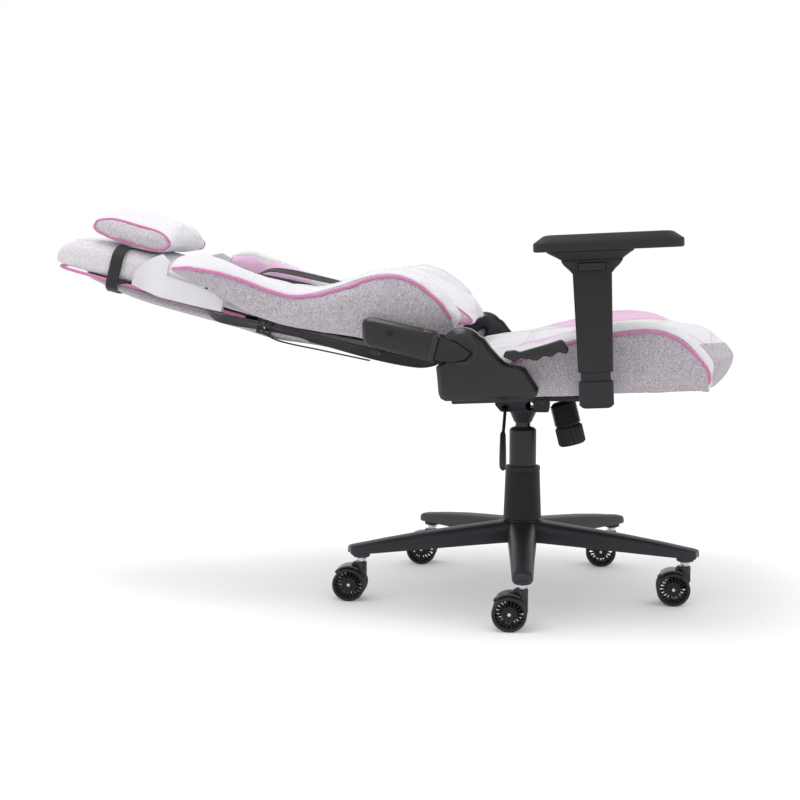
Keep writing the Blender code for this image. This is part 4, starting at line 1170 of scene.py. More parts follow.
def belt_rim(name, side):
    """White moulded ring of the belt hole, with a raised lip and a small latch tab."""
    stations = [(0.1575, 0.614, -0.026), (0.18, 0.596, -0.008), (0.205, 0.574, 0.008),
                (0.229, 0.554, 0.019), (0.243, 0.54, 0.014), (0.244, 0.535, 0.011),
                (0.244, 0.5325, -0.014), (0.244, 0.52, -0.014), (0.236, 0.48, -0.017),
                (0.226, 0.45, -0.021), (0.212, 0.432, -0.032), (0.186, 0.434, -0.038),
                (0.164, 0.448, -0.03), (0.154, 0.48, -0.024), (0.153, 0.54, -0.024),
                (0.153, 0.585, -0.024)]
    middle = Vector((0.19, 0.515))
    rings = []
    for y, a, high in stations:
        place = Vector((y, a))
        inward = (middle - place).normalized()
        ring = []
        for step, n in ((0.0, -0.053), (0.0, high - 0.0012), (0.001, high), (0.0036, high),
                        (0.0046, high - 0.0012), (0.004, high - 0.006), (0.004, -0.047),
                        (0.0052, -0.052), (0.0044, -0.053)):
            y2, a2 = place + inward * step
            ring.append((n, side * y2, a2))
        rings.append(ring)
    rim = loft("rim", rings, BACK, WHITE_SHELL, looped=True, angle=16)
    tab = plate("tab", [(-0.05, 0.44), (-0.038, 0.438), (-0.037, 0.45), (-0.044, 0.457),
                        (-0.051, 0.453)], side * 0.214, side * 0.218, BACK, WHITE_SHELL)
    settle(join(f"belt_guide_{name}", [rim, round_edges(tab, 0.0012)]), "back", "white_plastic",
           f"belt_rim_{name}")


# ---- pillows and straps -------------------------------------------------------------
def pillow(name, node, half_width, low, high, front, rear, sag=0.0):
    """Crowned pillow with a piped end panel at each side."""
    skin = padded_skin(f"{name}_foam", frame["nodes"][node], WHITE_CLOTH, BACK, voxel=0.0045,
                       shrink=0.002, cap=0.006, steps=1)
    if sag:
        droop(skin, sag)
    tree = skin_tree(skin)
    middle = (low + high) / 2
    loops = {}
    for side_name, side in SIDES:
        loop = []
        for k in range(64):
            turn = 2 * math.pi * k / 64
            u, v = math.cos(turn), math.sin(turn)
            n = rear + (front - rear) * (0.5 + 0.6 * math.copysign(abs(u) ** 0.7, u))
            a = middle + (high - low) / 2 * 1.1 * math.copysign(abs(v) ** 0.8, v)
            loop.append(BACK @ Vector((n, side * half_width * 0.985, a)))
        loops[side_name] = ease(on_skin(tree, loop, 0.0), 3, True)
    groove(skin, [loop + [loop[0]] for loop in loops.values()], 0.01, 0.0022)
    wrinkle(skin, 26.0, 0.003, 11)
    settle(skin, "back", "white_fabric", node)
    tree = skin_tree(skin)
    centre_n = (front + rear) / 2
    for side_name, side in SIDES:
        loop = on_skin(tree, loops[side_name], 0.0016)
        flat = local(BACK, np.array([tuple(p) for p in loop]))
        turns = np.arctan2(flat[:, 2] - middle, flat[:, 0] - centre_n)
        order = np.argsort(turns)
        sorted_turns = turns[order]
        radius = np.hypot(flat[:, 2] - middle, flat[:, 0] - centre_n)[order]
        deep = (side * flat[:, 1])[order]

        def end(places):
            spot = local(BACK, places)
            turn = np.arctan2(spot[:, 2] - middle, spot[:, 0] - centre_n)
            limit = np.interp(turn, sorted_turns, radius, period=2 * math.pi)
            outward_y = np.interp(turn, sorted_turns, deep, period=2 * math.pi)
            gap = limit - np.hypot(spot[:, 2] - middle, spot[:, 0] - centre_n)
            return np.where(side * spot[:, 1] > 0.8 * half_width,
                            np.minimum(gap, side * spot[:, 1] - outward_y + 0.004), -1.0)

        settle(panel(f"{name}_end_{side_name}", skin, end, END_CLOTH), "back", "grey_fabric")
        piping(f"{name}_piping_{side_name}", ease(loop, 2, True), PIPE_RADIUS, "back", True)


def mirrored(points, side):
    """A smooth run through (n, y, a) points, mirrored to the chair's right or left."""
    return smooth_path([(n, side * y, a) for n, y, a in points], 6)


def lumbar_strap(name, side):
    """Webbing from the lumbar pillow through the belt hole, its second layer and slider."""
    points = [(0.044, 0.12, 0.19), (0.029, 0.134, 0.25), (0.024, 0.149, 0.33), (0.02, 0.165, 0.4),
              (0.012, 0.176, 0.44), (-0.012, 0.184, 0.468), (-0.045, 0.188, 0.474),
              (-0.066, 0.19, 0.448), (-0.066, 0.1895, 0.41), (-0.0625, 0.1888, 0.355),
              (-0.059, 0.1885, 0.26), (-0.0575, 0.1885, 0.15), (-0.053, 0.1885, 0.085),
              (-0.046, 0.187, 0.055), (-0.034, 0.18, 0.04)]
    tips = [(0, 1, 0), (0.25, 1, 0), (0.5, 1, 0), (0.5, 1, 0), (0.25, 1, 0.15), (0, 1, 0),
            (0.1, 1, 0), (0.6, 0.8, 0), (0.8, 0.6, 0), (0.6, 0.8, 0), (0.8, 0.6, 0), (1, 0.12, 0),
            (1, 0.12, 0), (0.6, 0.5, 0.5), (0, 0.3, 1)]
    strap = band(f"pillow_strap_{name}", mirrored(points, side), mirrored(tips, side), 0.02, 0.0016,
                 BACK, WEB_CLOTH)
    settle(strap, "back", "black_webbing", f"lumbar_strap_{name}")
    tail = [(-0.069, 0.189, 0.365), (-0.073, 0.188, 0.356), (-0.0785, 0.185, 0.33),
            (-0.079, 0.183, 0.3), (-0.0765, 0.178, 0.25), (-0.072, 0.175, 0.16)]
    tips = [(0.7, 0.7, 0), (0.3, 1, 0)] + [(0, 1, 0)] * 4
    second = band(f"strap_tail_{name}", mirrored(tail, side), mirrored(tips, side), 0.012, 0.0016,
                  BACK, WEB_CLOTH)
    settle(second, "back", "black_webbing")
    slider = []
    for low, high in ((0.34, 0.344), (0.352, 0.355), (0.363, 0.367)):
        bar = plate("bar", box_outline(-0.074, -0.05, low, high), side * 0.19, side * 0.1925, BACK,
                    GLOSS_SHELL)
        slider.append(round_edges(bar, 0.0008))
    for n in (-0.0745, -0.0525):
        bar = plate("bar", box_outline(n, n + 0.003, 0.34, 0.367), side * 0.1895, side * 0.193,
                    BACK, GLOSS_SHELL)
        slider.append(round_edges(bar, 0.0008))
    rivet = spin("rivet", [(0.0, 0.001), (0.0014, 0.0008), (0.002, 0.0), (0.002, -0.002)],
                 BACK @ Matrix.Translation((-0.0625, side * 0.1926, 0.3535)) @ outward(side), STEEL,
                 steps=16)
    settle(join(f"strap_slider_{name}", slider), "back", "dark_plastic")
    settle(rivet, "back", "bright_steel").name = f"slider_rivet_{name}"


def head_strap():
    """Elastic webbing round the head section, with a short loose end at the right."""
    outer = [(-0.048, -0.152), (-0.069, -0.15), (-0.0775, -0.132), (-0.0785, 0.0), (-0.0775, 0.132),
             (-0.069, 0.15), (-0.048, 0.152), (-0.008, 0.1515), (0.0062, 0.131), (0.0068, 0.0),
             (0.0062, -0.131), (-0.008, -0.1515)]
    corner = []
    for k in range(len(outer)):
        a, b = Vector(outer[k]), Vector(outer[(k + 1) % len(outer)])
        corner += [a.lerp(b, t) for t in (0.12, 0.5, 0.88)]
    rings = []
    count = len(corner)
    for k, here in enumerate(corner):
        ahead = (corner[(k + 1) % count] - corner[k - 1]).normalized()
        out = Vector((ahead.y, -ahead.x))
        if out.dot(here - Vector((-0.035, 0.0))) < 0:
            out = -out
        ring = []
        for a, h in ((0.6405, 0.2), (0.6412, 1.0), (0.644, 1.1), (0.6515, 0.85), (0.659, 1.1),
                     (0.6618, 1.0), (0.6625, 0.2)):
            n, y = here + out * 0.0011 * h
            ring.append((n, y, a))
        for a, h in ((0.6618, -0.8), (0.6515, -0.7), (0.6412, -0.8)):
            n, y = here + out * 0.0011 * h
            ring.append((n, y, a))
        rings.append(ring)
    strap = loft("pillow_head_strap", rings, BACK, WEB_CLOTH, looped=True, angle=60)
    settle(strap, "back", "black_webbing", "head_strap")
    tail = band("head_strap_tail", [(-0.0585, -0.1532, 0.644), (-0.056, -0.1545, 0.638),
                                    (-0.053, -0.1545, 0.631), (-0.05, -0.1532, 0.624)],
                [(1, 0, 0.4)] * 4, 0.0075, 0.0014, BACK, WEB_CLOTH)
    settle(tail, "back", "black_webbing")


# ---- base, column and casters -------------------------------------------------------
def star_base():
    """Five-arm base: tapered arms with rounded ridges on a turned hub."""
    pieces = [spin("hub", [(0.0256, BASE_TOP), (0.0315, BASE_TOP), (0.0333, BASE_TOP - 0.0018),
                           (0.0335, 0.1), (0.0322, 0.0935), (0.03, 0.0922), (0.0256, 0.0922)], BASE,
                   PAINT, steps=56, closed=True)]
    for k in range(5):
        turn = ARM_TURN - math.pi / 2 + k * 2 * math.pi / 5
        arm = BASE @ Matrix.Rotation(turn, 4, 'Z')
        rings = []
        for reach, half, bottom, top in ((0.026, 0.0268, 0.0965, 0.136),
                                         (0.05, 0.0262, 0.0963, 0.1335),
                                         (0.11, 0.0243, 0.094, 0.1278),
                                         (0.19, 0.0215, 0.0905, 0.12),
                                         (0.26, 0.0196, 0.0878, 0.111),
                                         (0.306, 0.0184, 0.086, 0.104),
                                         (0.32, 0.0178, 0.0852, 0.1022),
                                         (0.3275, 0.0166, 0.0852, 0.1005),
                                         (BASE_RADIUS, 0.0146, 0.0862, 0.0982)):
            deep = top - bottom
            half_ring = [(0.0, bottom + 0.0015), (half * 0.7, bottom + 0.0015),
                         (half * 0.78, bottom), (half * 0.94, bottom), (half, bottom + 0.0012),
                         (half, bottom + deep * 0.5), (half * 0.94, top - deep * 0.22),
                         (half * 0.8, top - deep * 0.09), (half * 0.56, top - deep * 0.025),
                         (half * 0.28, top)]
            ring = half_ring + [(0.0, top + 0.0003)]
            ring += [(-y, z) for y, z in reversed(half_ring[1:])]
            rings.append([(reach, y, z) for y, z in ring])
        pieces.append(loft("arm", rings, arm, PAINT, angle=32))
        boss = [(0.0062, 0.079), (0.014, 0.079), (0.0157, 0.0802), (0.0158, 0.087), (0.0062, 0.087)]
        pieces.append(spin("boss", boss, arm @ Matrix.Translation((STEM_RADIUS, 0, 0)), PAINT,
                           steps=32, closed=True))
    settle(join("base_arms", pieces), "base", "black_steel", "star_base")


def column():
    """Gas lift tube with its wiper ring, dark rod and the cover round the tube."""
    tube_part = spin("lift_tube", [(0.0145, 0.308), (0.0205, 0.308), (0.0218, 0.3074),
                                   (0.025, 0.3035), (0.025, 0.094), (0.023, 0.0925),
                                   (0.0145, 0.0925)], BASE, TUBE_PAINT, steps=64, closed=True)
    settle(tube_part, "base", "black_steel", "gas_cylinder")
    cover = spin("column_sleeve", [(0.0256, 0.2365), (0.03, 0.237), (0.032, 0.2362),
                                   (0.0326, 0.234), (0.0326, 0.2285), (0.0316, 0.227),
                                   (0.032, 0.2255), (0.0352, 0.142), (0.0357, 0.1405),
                                   (0.0357, 0.139), (0.033, 0.1389), (0.0302, 0.232),
                                   (0.0256, 0.233)], BASE, SLEEVE_SHELL, steps=64, closed=True)
    settle(cover, "base", "dark_plastic", "column_cover")
    rod = spin("lift_rod", [(0.0, 0.356), (0.0132, 0.356), (0.014, 0.355), (0.014, 0.121),
                            (0.0, 0.12)], BASE, ROD_STEEL, steps=48)
    settle(rod, "lift", "bright_steel", "piston_rod")
    collar = spin("rod_wiper", [(0.0142, 0.3096), (0.0168, 0.3096), (0.018, 0.3086),
                                (0.018, 0.3079), (0.0142, 0.3079)], BASE, GLOSS_SHELL, steps=48,
                  closed=True)
    settle(collar, "base", "dark_plastic")


def caster(index):
    """Twin-wheel caster with ribbed tyres and open spokes."""
    turn = ARM_TURN - math.pi / 2 + index * 2 * math.pi / 5
    at = BASE @ Matrix.Translation((STEM_RADIUS * math.cos(turn), STEM_RADIUS * math.sin(turn), 0))
    back = -CASTER_TRAIL
    stem = spin("stem", [(0.0, 0.093), (0.005, 0.093), (0.0055, 0.0924), (0.0055, 0.0605),
                         (0.0, 0.0605)], at, STEEL, steps=24)
    ring = spin("stem_ring", [(0.0056, 0.0782), (0.0088, 0.0782), (0.0092, 0.0776),
                              (0.0092, 0.0742), (0.0088, 0.0737), (0.0056, 0.0737)], at, STEEL,
                steps=24, closed=True)
    settle(join(f"caster_stem_pin_{index}", [stem, ring]), f"caster_{index}", "bright_steel",
           f"caster_stem_{index}")

    outline = [(0.0095, 0.07), (-0.014, 0.07)]
    outline += arc((back, WHEEL_RADIUS), 0.0345, 86, 146, 9)
    outline += arc((back, WHEEL_RADIUS), 0.025, 146, 104, 5)
    outline += [(back - 0.0085, 0.031)] + arc((back, WHEEL_RADIUS), 0.0085, 190, 350, 9)
    outline += [(0.001, 0.0305), (0.0062, 0.035), (0.0095, 0.044)]
    hood = plate("hood", outline, -0.0055, 0.0055, at, DARK_SHELL)
    round_edges(hood, 0.001, 2, 50)
    cap = spin("hood_cap", [(0.0, 0.0705), (0.0105, 0.0705), (0.0118, 0.0695), (0.012, 0.064),
                            (0.0108, 0.056), (0.0, 0.056)], at @ Matrix.Translation((-0.002, 0, 0)),
               DARK_SHELL, steps=32)
    fender_rings = []
    for angle in range(58, 132, 6):
        way = math.radians(angle)
        ring = []
        for radius, y in ((0.0318, -0.019), (0.0345, -0.018), (0.0352, 0.0), (0.0345, 0.018),
                          (0.0318, 0.019), (0.033, 0.0), (0.0318, -0.017)):
            ring.append((back + radius * math.cos(way), y, WHEEL_RADIUS + radius * math.sin(way)))
        fender_rings.append(ring)
    fender = loft("fender", fender_rings, at, DARK_SHELL, angle=40)
    settle(join(f"caster_yoke_{index}", [hood, cap, fender]), f"caster_{index}", "dark_plastic",
           f"caster_hood_{index}")

    pieces = []
    axle = at @ Matrix.Translation((back, 0, WHEEL_RADIUS))
    pin = spin("pin", [(0.0, 0.0235), (0.0028, 0.0235), (0.0032, 0.023), (0.0032, -0.023),
                       (0.0028, -0.0235), (0.0, -0.0235)], axle @ OUT_RIGHT, STEEL, steps=20)
    for side in (-1, 1):
        wheel = axle @ outward(side)
        tread = [(0.024, 0.024), (0.0252, 0.0258), (0.0272, 0.0262), (0.0288, 0.0254),
                 (0.0297, 0.0236)]
        for groove_at in (0.0205, 0.0165, 0.0125):
            tread += [(0.03, groove_at + 0.0022), (0.03, groove_at + 0.0006), (0.0294, groove_at),
                      (0.0294, groove_at - 0.0004)]
        tread += [(0.0299, 0.0095), (0.029, 0.0068), (0.0275, 0.0062), (0.0238, 0.0064)]
        pieces.append(spin("tread", tread, wheel, TYRE_SKIN, steps=60, closed=True))
        hub = [(0.0, 0.0232), (0.008, 0.0232), (0.0098, 0.0226), (0.0116, 0.0236), (0.0128, 0.0228),
               (0.013, 0.02), (0.013, 0.007), (0.0048, 0.0064), (0.0048, 0.01), (0.0, 0.01)]
        pieces.append(spin("wheel_hub", hub, wheel, TYRE_SKIN, steps=40))
        for spoke in range(20):
            way = Matrix.Rotation(2 * math.pi * (spoke + 0.5) / 20, 4, 'Z')
            verts = []
            for r, half in ((0.0122, 0.00085), (0.0185, 0.00075), (0.0246, 0.0011)):
                for y, z in ((-half, 0.012), (half, 0.012), (half, 0.0216), (half * 0.5, 0.0226),
                             (-half * 0.5, 0.0226), (-half, 0.0216)):
                    verts.append((r, y, z))
            faces = []
            for row in (0, 6):
                faces += [(row + i, row + (i + 1) % 6, row + 6 + (i + 1) % 6, row + 6 + i)
                          for i in range(6)]
            faces += [range(6), range(12, 18)]
            pieces.append(make("spoke", verts, faces, wheel @ way, TYRE_SKIN, 30))
    pieces.append(pin)
    settle(join(f"caster_wheel_pair_{index}", pieces), f"wheels_{index}", "wheel_tread",
           f"caster_wheels_{index}")


# ---- mechanism ----------------------------------------------------------------------
def dress(node, mat, width=0.0008, angle=38):
    """Round the corners of a CAD node that stays, and give it a finish."""
    obj = frame["nodes"][node]
    weld = obj.modifiers.new("weld", 'WELD')
    weld.merge_threshold = 0.00003
    edges = obj.modifiers.new("edges", 'BEVEL')
    edges.width = width
    edges.segments = 2
    edges.limit_method = 'ANGLE'
    edges.angle_limit = math.radians(angle)
    give_material(obj, mat)
    set_shading(obj.data, angle)


def mechanism():
    """Tilt mechanism: body, axle, bushings, ribbed spring sleeve, fluted knob and lever."""
    dress("mechanism_body", PAINT, 0.0012)
    dress("tilt_axle", ROD_STEEL, 0.0006)
    bushes = []
    for side in (-1, 1):
        at = BASE @ Matrix.Translation((TILT_PIVOT[0], side * 0.0562,
                                        TILT_PIVOT[2])) @ outward(side)
        bushes.append(spin("bush", [(0.0051, 0.0022), (0.0088, 0.0022), (0.0098, 0.0014),
                                    (0.0098, 0.0), (0.0051, 0.0)], at, GLOSS_SHELL, steps=32,
                           closed=True))
    settle(join("tilt_bushes", bushes), "seat", "dark_plastic")
    lean = (BASE @ Matrix.Translation((0.0725, 0, 0.3575)) @ Matrix.Rotation(math.radians(-14), 4,
                                                                             'Y'))
    profile = [(0.0, 0.0), (0.017, -0.0005), (0.0208, -0.003), (0.0222, -0.005)]
    for k in range(12):
        z = -0.0055 - 0.0032 * k
        profile += [(0.0226, z), (0.0245, z - 0.0005), (0.0248, z - 0.001), (0.0245, z - 0.0015),
                    (0.0226, z - 0.002)]
    profile += [(0.022, -0.0455), (0.0, -0.0455)]
    settle(spin("spring_boot", profile, lean, SLEEVE_SHELL, steps=56), "mechanism", "dark_plastic",
           "spring_sleeve")
    knob = lean @ Matrix.Translation((0, 0, -0.0462))
    grip = [(0.0, 0.0), (0.0225, 0.0), (0.0238, -0.001), (0.0252, -0.003), (0.0256, -0.005),
            (0.0256, -0.031), (0.025, -0.0335), (0.0215, -0.0362), (0.013, -0.0364),
            (0.011, -0.035), (0.0, -0.035)]
    settle(spin("tension_grip", grip, knob, SLEEVE_SHELL, steps=120, flutes=20, depth=0.0014),
           "tension_knob", "dark_plastic", "tension_knob")

    end = Vector((-0.024, -0.238, 0.3235))
    root = Vector((-0.031, -0.036, 0.349))
    wire = [root.lerp(end, k / 12) for k in range(13)]
    settle(tube("lever_wire", wire, 0.0031, BASE, PAINT), "lift_lever", "black_steel",
           "lift_lever_rod")
    top = end + Vector((0, -0.0027, 0.002))
    fall = Vector((0.002, -0.034, -0.06))
    rings = []
    for along, wide, thick in ((0.0, 0.003, 0.0042), (0.03, 0.0042, 0.0058), (0.1, 0.0052, 0.0075),
                               (0.28, 0.0055, 0.0084), (0.45, 0.0058, 0.0095),
                               (0.7, 0.0062, 0.0102), (0.9, 0.0062, 0.01), (0.97, 0.0054, 0.009),
                               (1.0, 0.0036, 0.0066)):
        spot = top + fall * along
        out = Vector((0, -0.87, 0.49))
        rings.append([spot + Vector((u * wide, 0, 0)) + out * (v * thick + thick) for u,
                      v in arc((0, 0), 1.0, 0, 345, 24)])
    settle(loft("lever_paddle", rings, BASE, GLOSS_SHELL, angle=60), "lift_lever", "dark_plastic",
           "lift_lever_grip")


# ---- seat structure -----------------------------------------------------------------
def recliner(name, side):
    """Side cover of the recline hinge with a low round disc on its axis."""
    px, pz = PIVOT[0], PIVOT[2]
    outline = arc((px, pz), 0.0365, 36, 206, 30)
    outline += [(-0.13, 0.45), (-0.1275, 0.404), (-0.1245, 0.3965), (-0.116, 0.392), (0.03, 0.392),
                (0.0372, 0.3965), (0.04, 0.408), (0.019, 0.443), (0.008, 0.4475), (-0.006, 0.45),
                (-0.016, 0.455), (-0.023, 0.462), (-0.037, 0.479), (-0.047, 0.494)]
    cover = side_plate("cover", outline, side, 0.2735, SIDE_COVER_Y, SEAT, DARK_SHELL)
    round_edges(cover, 0.008, 1, 55)
    round_edges(cover, 0.0009, 2, 25, 30)
    disc = spin("disc", [(0.0, 0.0006), (0.0205, 0.0006), (0.0215, 0.0012), (0.0275, 0.0012),
                         (0.0285, 0.0), (0.0285, -0.003), (0.0, -0.003)],
                SEAT @ Matrix.Translation((px, side * SIDE_COVER_Y, pz)) @ outward(side),
                DARK_SHELL)
    cover = join(f"recliner_cover_{name}", [cover, disc])
    settle(cover, "seat", "dark_plastic", f"side_cover_{name}")
    dress(f"hinge_bracket_{name}", PAINT, 0.0006)


def recline_lever():
    """Finger lever beside the seat, with a notched grip."""
    outline = [(-0.018, 0.4635), (-0.013, 0.4725), (0.002, 0.4735), (0.01, 0.47), (0.024, 0.4735),
               (0.052, 0.4805), (0.079, 0.488), (0.084, 0.486), (0.092, 0.4715), (0.088, 0.464),
               (0.082, 0.465), (0.076, 0.468), (0.07, 0.465), (0.064, 0.46), (0.058, 0.4602),
               (0.052, 0.462), (0.046, 0.459), (0.04, 0.4545), (0.033, 0.455), (0.026, 0.458),
               (0.012, 0.46), (0.001, 0.4535)]
    handle = plate("recline_handle", outline, LEVER_Y - 0.0095, LEVER_Y + 0.0095, SEAT, DARK_SHELL)
    round_edges(handle, 0.0026, 3, 24, 40)
    settle(handle, "recline_lever", "dark_plastic", "recline_lever")


def arm_cover(name, side):
    """Cover of the back's steel arm, a block, pointer and knee at its hinge, and one screw."""
    outline = [(0.0165, 0.045), (0.002, 0.04), (-0.02, 0.0372), (-0.034, 0.036), (-0.0365, 0.152),
               (-0.0352, 0.16), (-0.032, 0.167), (-0.001, 0.1755), (0.0048, 0.174), (0.008, 0.1705),
               (0.012, 0.16)]
    cover = side_plate("cover", outline, side, 0.2694, ARM_COVER_Y, BACK, DARK_SHELL)
    round_edges(cover, 0.0062, 1, 50)
    round_edges(cover, 0.0008, 2, 25, 30)
    well = spin("well", [(0.0, 0.004), (0.0062, 0.004), (0.005, -0.0016), (0.0, -0.0016)],
                BACK @ Matrix.Translation((-0.006, side * ARM_COVER_Y, 0.125)) @ outward(side),
                DARK_SHELL, steps=32)
    cut(cover, well)
    outline = [(-0.0312, 0.0395), (-0.0312, 0.074), (0.0155, 0.0755), (0.017, 0.047)]
    block = side_plate("block", outline, side, 0.272, ARM_COVER_Y + 0.001, BACK, DARK_SHELL)
    round_edges(block, 0.0045, 1, 50)
    round_edges(block, 0.0007, 2, 25, 30)
    outline = [(0.012, 0.042), (0.0105, 0.015), (-0.0004, -0.0177), (-0.015, -0.01),
               (-0.025, 0.008), (-0.0282, 0.0277), (-0.029, 0.042)]
    pointer = side_plate("pointer", outline, side, SIDE_COVER_Y + 0.0016, POINTER_Y, BACK,
                         DARK_SHELL)
    round_edges(pointer, 0.0022, 1, 50)
    outline = [(-0.0285, 0.04), (-0.029, 0.052), (0.013, 0.052), (0.0125, 0.04)]
    knee = side_plate("knee", outline, side, 0.294, POINTER_Y, BACK, DARK_SHELL)
    round_edges(knee, 0.003, 1, 50)
    settle(join(f"arm_shroud_{name}", [cover, block, pointer, knee]), "back", "dark_plastic",
           f"arm_cover_{name}")
    head = screw((-0.006, side * (ARM_COVER_Y - 0.0014), 0.125), 0.0042, BACK, GLOSS_SHELL,
                 outward(side))
    head.name = f"arm_screw_{name}"
    settle(head, "back", "bright_steel")
    dress(f"back_arm_{name}", PAINT, 0.0006)


def rounded(z, x_low, x_high, y_mid, half, radius, steps=5):
    """Rectangle with round corners at a height."""
    radius = min(radius, half * 0.9, (x_high - x_low) * 0.45)
    ring = []
    for cx, cy, first in ((x_high - radius, half - radius, 0), (x_low + radius, half - radius, 90),
                          (x_low + radius, radius - half, 180),
                          (x_high - radius, radius - half, 270)):
        ring += [(x, y + y_mid, z) for x, y in arc((cx, cy), radius, first, first + 90, steps)]
    return ring


def armrest_block(name, side, rings):
    """Block round an armrest's axis: (height, rear reach, front reach, half width, corner)."""
    return loft(name, [rounded(z, ARMREST_X - rear, ARMREST_X + front, side * ARMREST_Y, half,
                               corner) for z, rear, front, half, corner in rings], SEAT,
                SLEEVE_SHELL)


def armrest(name, side):
    """Armrest: socket and post on a steel foot, sliding sleeve, button, carrier and pad."""
    x, y = ARMREST_X, side * ARMREST_Y
    socket = armrest_block("socket", side,
                           [(0.374, 0.0205, 0.0205, 0.0125, 0.006),
                            (0.3752, 0.0235, 0.0235, 0.015, 0.006),
                            (0.379, 0.0275, 0.0275, 0.0185, 0.006),
                            (0.38, 0.0285, 0.0285, 0.019, 0.006),
                            (0.4168, 0.0285, 0.0285, 0.019, 0.006),
                            (0.418, 0.0275, 0.0275, 0.018, 0.006)])
    post = armrest_block("post", side,
                         [(0.4, 0.0245, 0.0245, 0.0125, 0.005),
                          (0.574, 0.0245, 0.0245, 0.0125, 0.005),
                          (0.575, 0.0235, 0.0235, 0.0115, 0.005)])
    foot = side_plate("foot", box_outline(x - 0.025, x + 0.025, 0.3826, 0.3886), side, 0.085, 0.3,
                      SEAT, PAINT)
    round_edges(foot, 0.0012)
    bolts = [screw((x, side * w, 0.3824), 0.0065, SEAT, STEEL, Matrix.Rotation(math.pi, 4, 'X'),
                   0.003) for w in (0.12, 0.18, 0.24)]
    settle(join(f"armrest_post_{name}", [socket, post, foot]), "seat", "dark_plastic",
           f"arm_bracket_{name}")
    settle(join(f"armrest_bolts_{name}", bolts), "seat", "bright_steel")

    sleeve = armrest_block("sleeve", side,
                           [(0.434, 0.0275, 0.0275, 0.016, 0.006),
                            (0.4352, 0.0286, 0.0286, 0.0171, 0.006),
                            (0.596, 0.0325, 0.0315, 0.0185, 0.006),
                            (0.603, 0.0385, 0.0375, 0.0198, 0.007),
                            (0.61, 0.046, 0.045, 0.0215, 0.008),
                            (0.6168, 0.0505, 0.05, 0.0234, 0.008),
                            (0.618, 0.05, 0.0495, 0.023, 0.008)])
    bore = armrest_block("bore", side,
                         [(0.4, 0.0252, 0.0252, 0.0132, 0.005),
                          (0.59, 0.0252, 0.0252, 0.0132, 0.005)])
    recess = side_plate("recess", box_outline(x - 0.023, x + 0.022, 0.6005, 0.6145), side,
                        ARMREST_Y + 0.0175, ARMREST_Y + 0.03, SEAT, SLEEVE_SHELL)
    cut(sleeve, bore, recess)
    sleeve.name = f"armrest_sleeve_{name}"
    settle(sleeve, f"armrest_{name}", "dark_plastic", f"arm_sleeve_{name}")
    button = side_plate(f"armrest_button_{name}",
                        box_outline(x - 0.0222, x + 0.0212, 0.6012, 0.6138), side,
                        ARMREST_Y + 0.0192, ARMREST_Y + 0.0245, SEAT, GLOSS_SHELL)
    round_edges(button, 0.0014, 3)
    settle(button, f"height_button_{name}", "dark_plastic", f"height_button_{name}")

    carrier = armrest_block(f"armrest_carrier_{name}", side,
                            [(0.6184, 0.05, 0.0495, 0.0228, 0.008),
                             (0.6196, 0.0515, 0.051, 0.024, 0.008),
                             (0.6224, 0.056, 0.054, 0.026, 0.009),
                             (0.632, 0.0735, 0.0685, 0.0328, 0.01),
                             (0.6331, 0.0735, 0.0685, 0.0326, 0.01)])
    settle(carrier, f"pad_carrier_{name}", "dark_plastic", f"pad_carrier_{name}")

    rear, front = x - 0.095, x + 0.149
    corners = [(rear, 0.034), (rear + 0.016, 0.046), (rear + 0.07, 0.05), (front - 0.06, 0.05),
               (front - 0.014, 0.043), (front, 0.03)]
    closed_plan = corners + [(u, -v) for u, v in reversed(corners)]
    plan = []
    for k, (u, v) in enumerate(closed_plan):
        before = Vector(closed_plan[k - 1])
        here = Vector((u, v))
        after = Vector(closed_plan[(k + 1) % len(closed_plan)])
        into = min(0.01, (before - here).length * 0.4)
        out = min(0.01, (after - here).length * 0.4)
        start = here + (before - here).normalized() * into
        end = here + (after - here).normalized() * out
        for t in (0.0, 0.25, 0.5, 0.75, 1.0):
            plan.append(tuple(start * (1 - t) ** 2 + here * 2 * t * (1 - t) + end * t * t))
    middle, half = (rear + front) / 2, (front - rear) / 2
    rings = []
    for z, inset in ((0.6335, 0.004), (0.634, 0.0016), (0.6352, 0.0004), (0.637, 0.0), (0.647, 0.0),
                     (0.6484, 0.0008), (0.658, 0.0145), (0.6596, 0.0175), (0.6606, 0.0215),
                     (0.661, 0.0275)):
        rings.append([(middle + (u - middle) * (1 - inset / half),
                       y + v * (1 - inset * 0.62 / 0.05), z) for u, v in plan])
    pad = loft(f"armrest_pad_{name}", rings, SEAT, PAD_SKIN, angle=24)
    settle(pad, f"arm_pad_{name}", "pad_rubber", f"arm_pad_{name}")


# ---- build --------------------------------------------------------------------------

seat_skin()
centre_skin()
rear_panel()
for side_name, sign in SIDES:
    wing(side_name, sign)
    belt_rim(side_name, sign)
    lumbar_strap(side_name, sign)
    recliner(side_name, sign)
    arm_cover(side_name, sign)
    armrest(side_name, sign)
pillow("head_pillow", "head_pillow", 0.14, 0.567, 0.715, 0.064, 0.0078)
pillow("lumbar_pillow", "lumbar_pillow", 0.152, 0.008, 0.192, 0.09, 0.0235, sag=0.022)
head_strap()
star_base()
column()
for number in range(5):
    caster(number)
mechanism()
recline_lever()
dress("seat_pan", PAINT, 0.001)
dress("seat_plate", PAINT, 0.0008)
dress("back_frame", PAINT, 0.0004, 60)
dress("sync_rod", ROD_STEEL, 0.0004, 60)

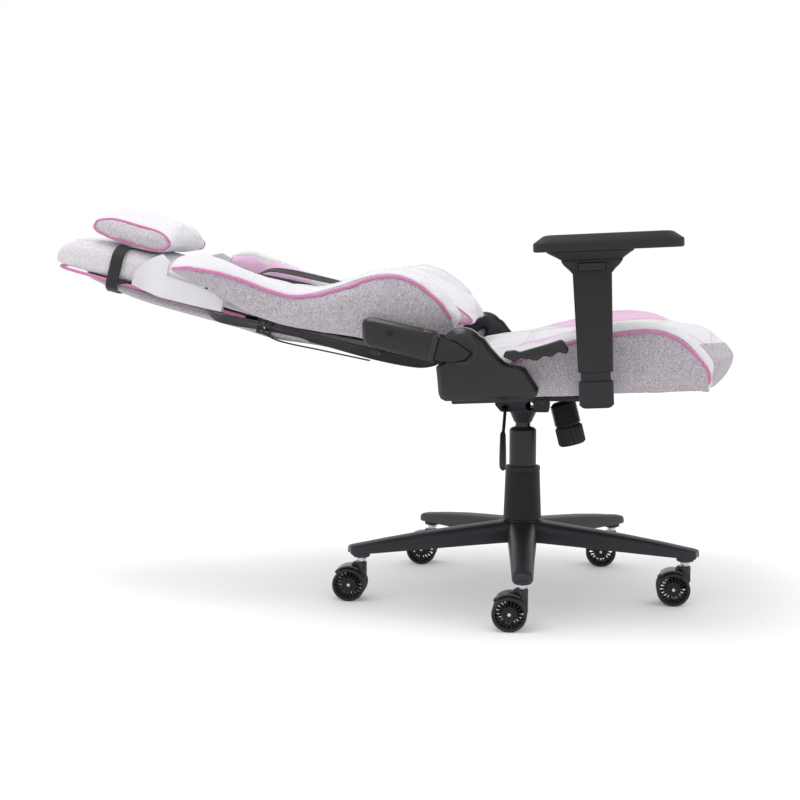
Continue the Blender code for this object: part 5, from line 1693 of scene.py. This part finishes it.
# ---- stage, light and camera --------------------------------------------------------
FLOOR_SPREAD = 14.0
floor_mesh = bpy.data.meshes.new("floor")
floor_mesh.from_pydata([(-FLOOR_SPREAD, -FLOOR_SPREAD, 0), (FLOOR_SPREAD, -FLOOR_SPREAD, 0),
                        (FLOOR_SPREAD, FLOOR_SPREAD, 0), (-FLOOR_SPREAD, FLOOR_SPREAD, 0)], [],
                       [(0, 1, 2, 3)])
floor = add_object("floor", floor_mesh)
floor_look = bpy.data.materials.new("floor_look")
floor_look.use_nodes = True
floor_inputs = floor_look.node_tree.nodes["Principled BSDF"].inputs
floor_inputs["Base Color"].default_value = grey(0.9)
floor_inputs["Emission Color"].default_value = grey(1.0)
floor_inputs["Emission Strength"].default_value = 0.12
floor_inputs["Roughness"].default_value = 0.9
floor_mesh.materials.append(floor_look)

world_look = bpy.data.worlds.new("studio")
bpy.context.scene.world = world_look
world_look.use_nodes = True
world_look.node_tree.nodes["Background"].inputs["Color"].default_value = grey(1.0)
world_look.node_tree.nodes["Background"].inputs["Strength"].default_value = 1.0


def area_light(name, place, aim, width, height, power):
    """A soft box."""
    data = bpy.data.lights.new(name, 'AREA')
    data.shape = 'RECTANGLE'
    data.size = width
    data.size_y = height
    data.energy = power
    lamp = add_object(name, data)
    lamp.location = place
    lamp.rotation_euler = (Vector(aim) - Vector(place)).to_track_quat('-Z', 'Y').to_euler()


area_light("key", (-0.4, -0.3, 3.0), (0.0, 0.0, 0.4), 1.6, 1.0, 24)
area_light("front", (0.6, -3.4, 1.6), (0.0, 0.0, 0.4), 2.0, 1.2, 4)
bpy.context.scene.view_settings.view_transform = 'Standard'

CAMERA_DISTANCE = 2.963
CAMERA_HEIGHT = 0.654
CAMERA_DIP = 5.7
CAMERA_TURN = 6.74
camera_data = bpy.data.cameras.new("camera")
camera_data.sensor_width = 36.0
camera_data.lens = 72.02
camera = add_object("camera", camera_data)
camera.location = (COLUMN_X + 0.12, -CAMERA_DISTANCE, CAMERA_HEIGHT)
camera.rotation_euler = (math.radians(90 - CAMERA_DIP), 0.0, math.radians(CAMERA_TURN))
bpy.context.scene.camera = camera
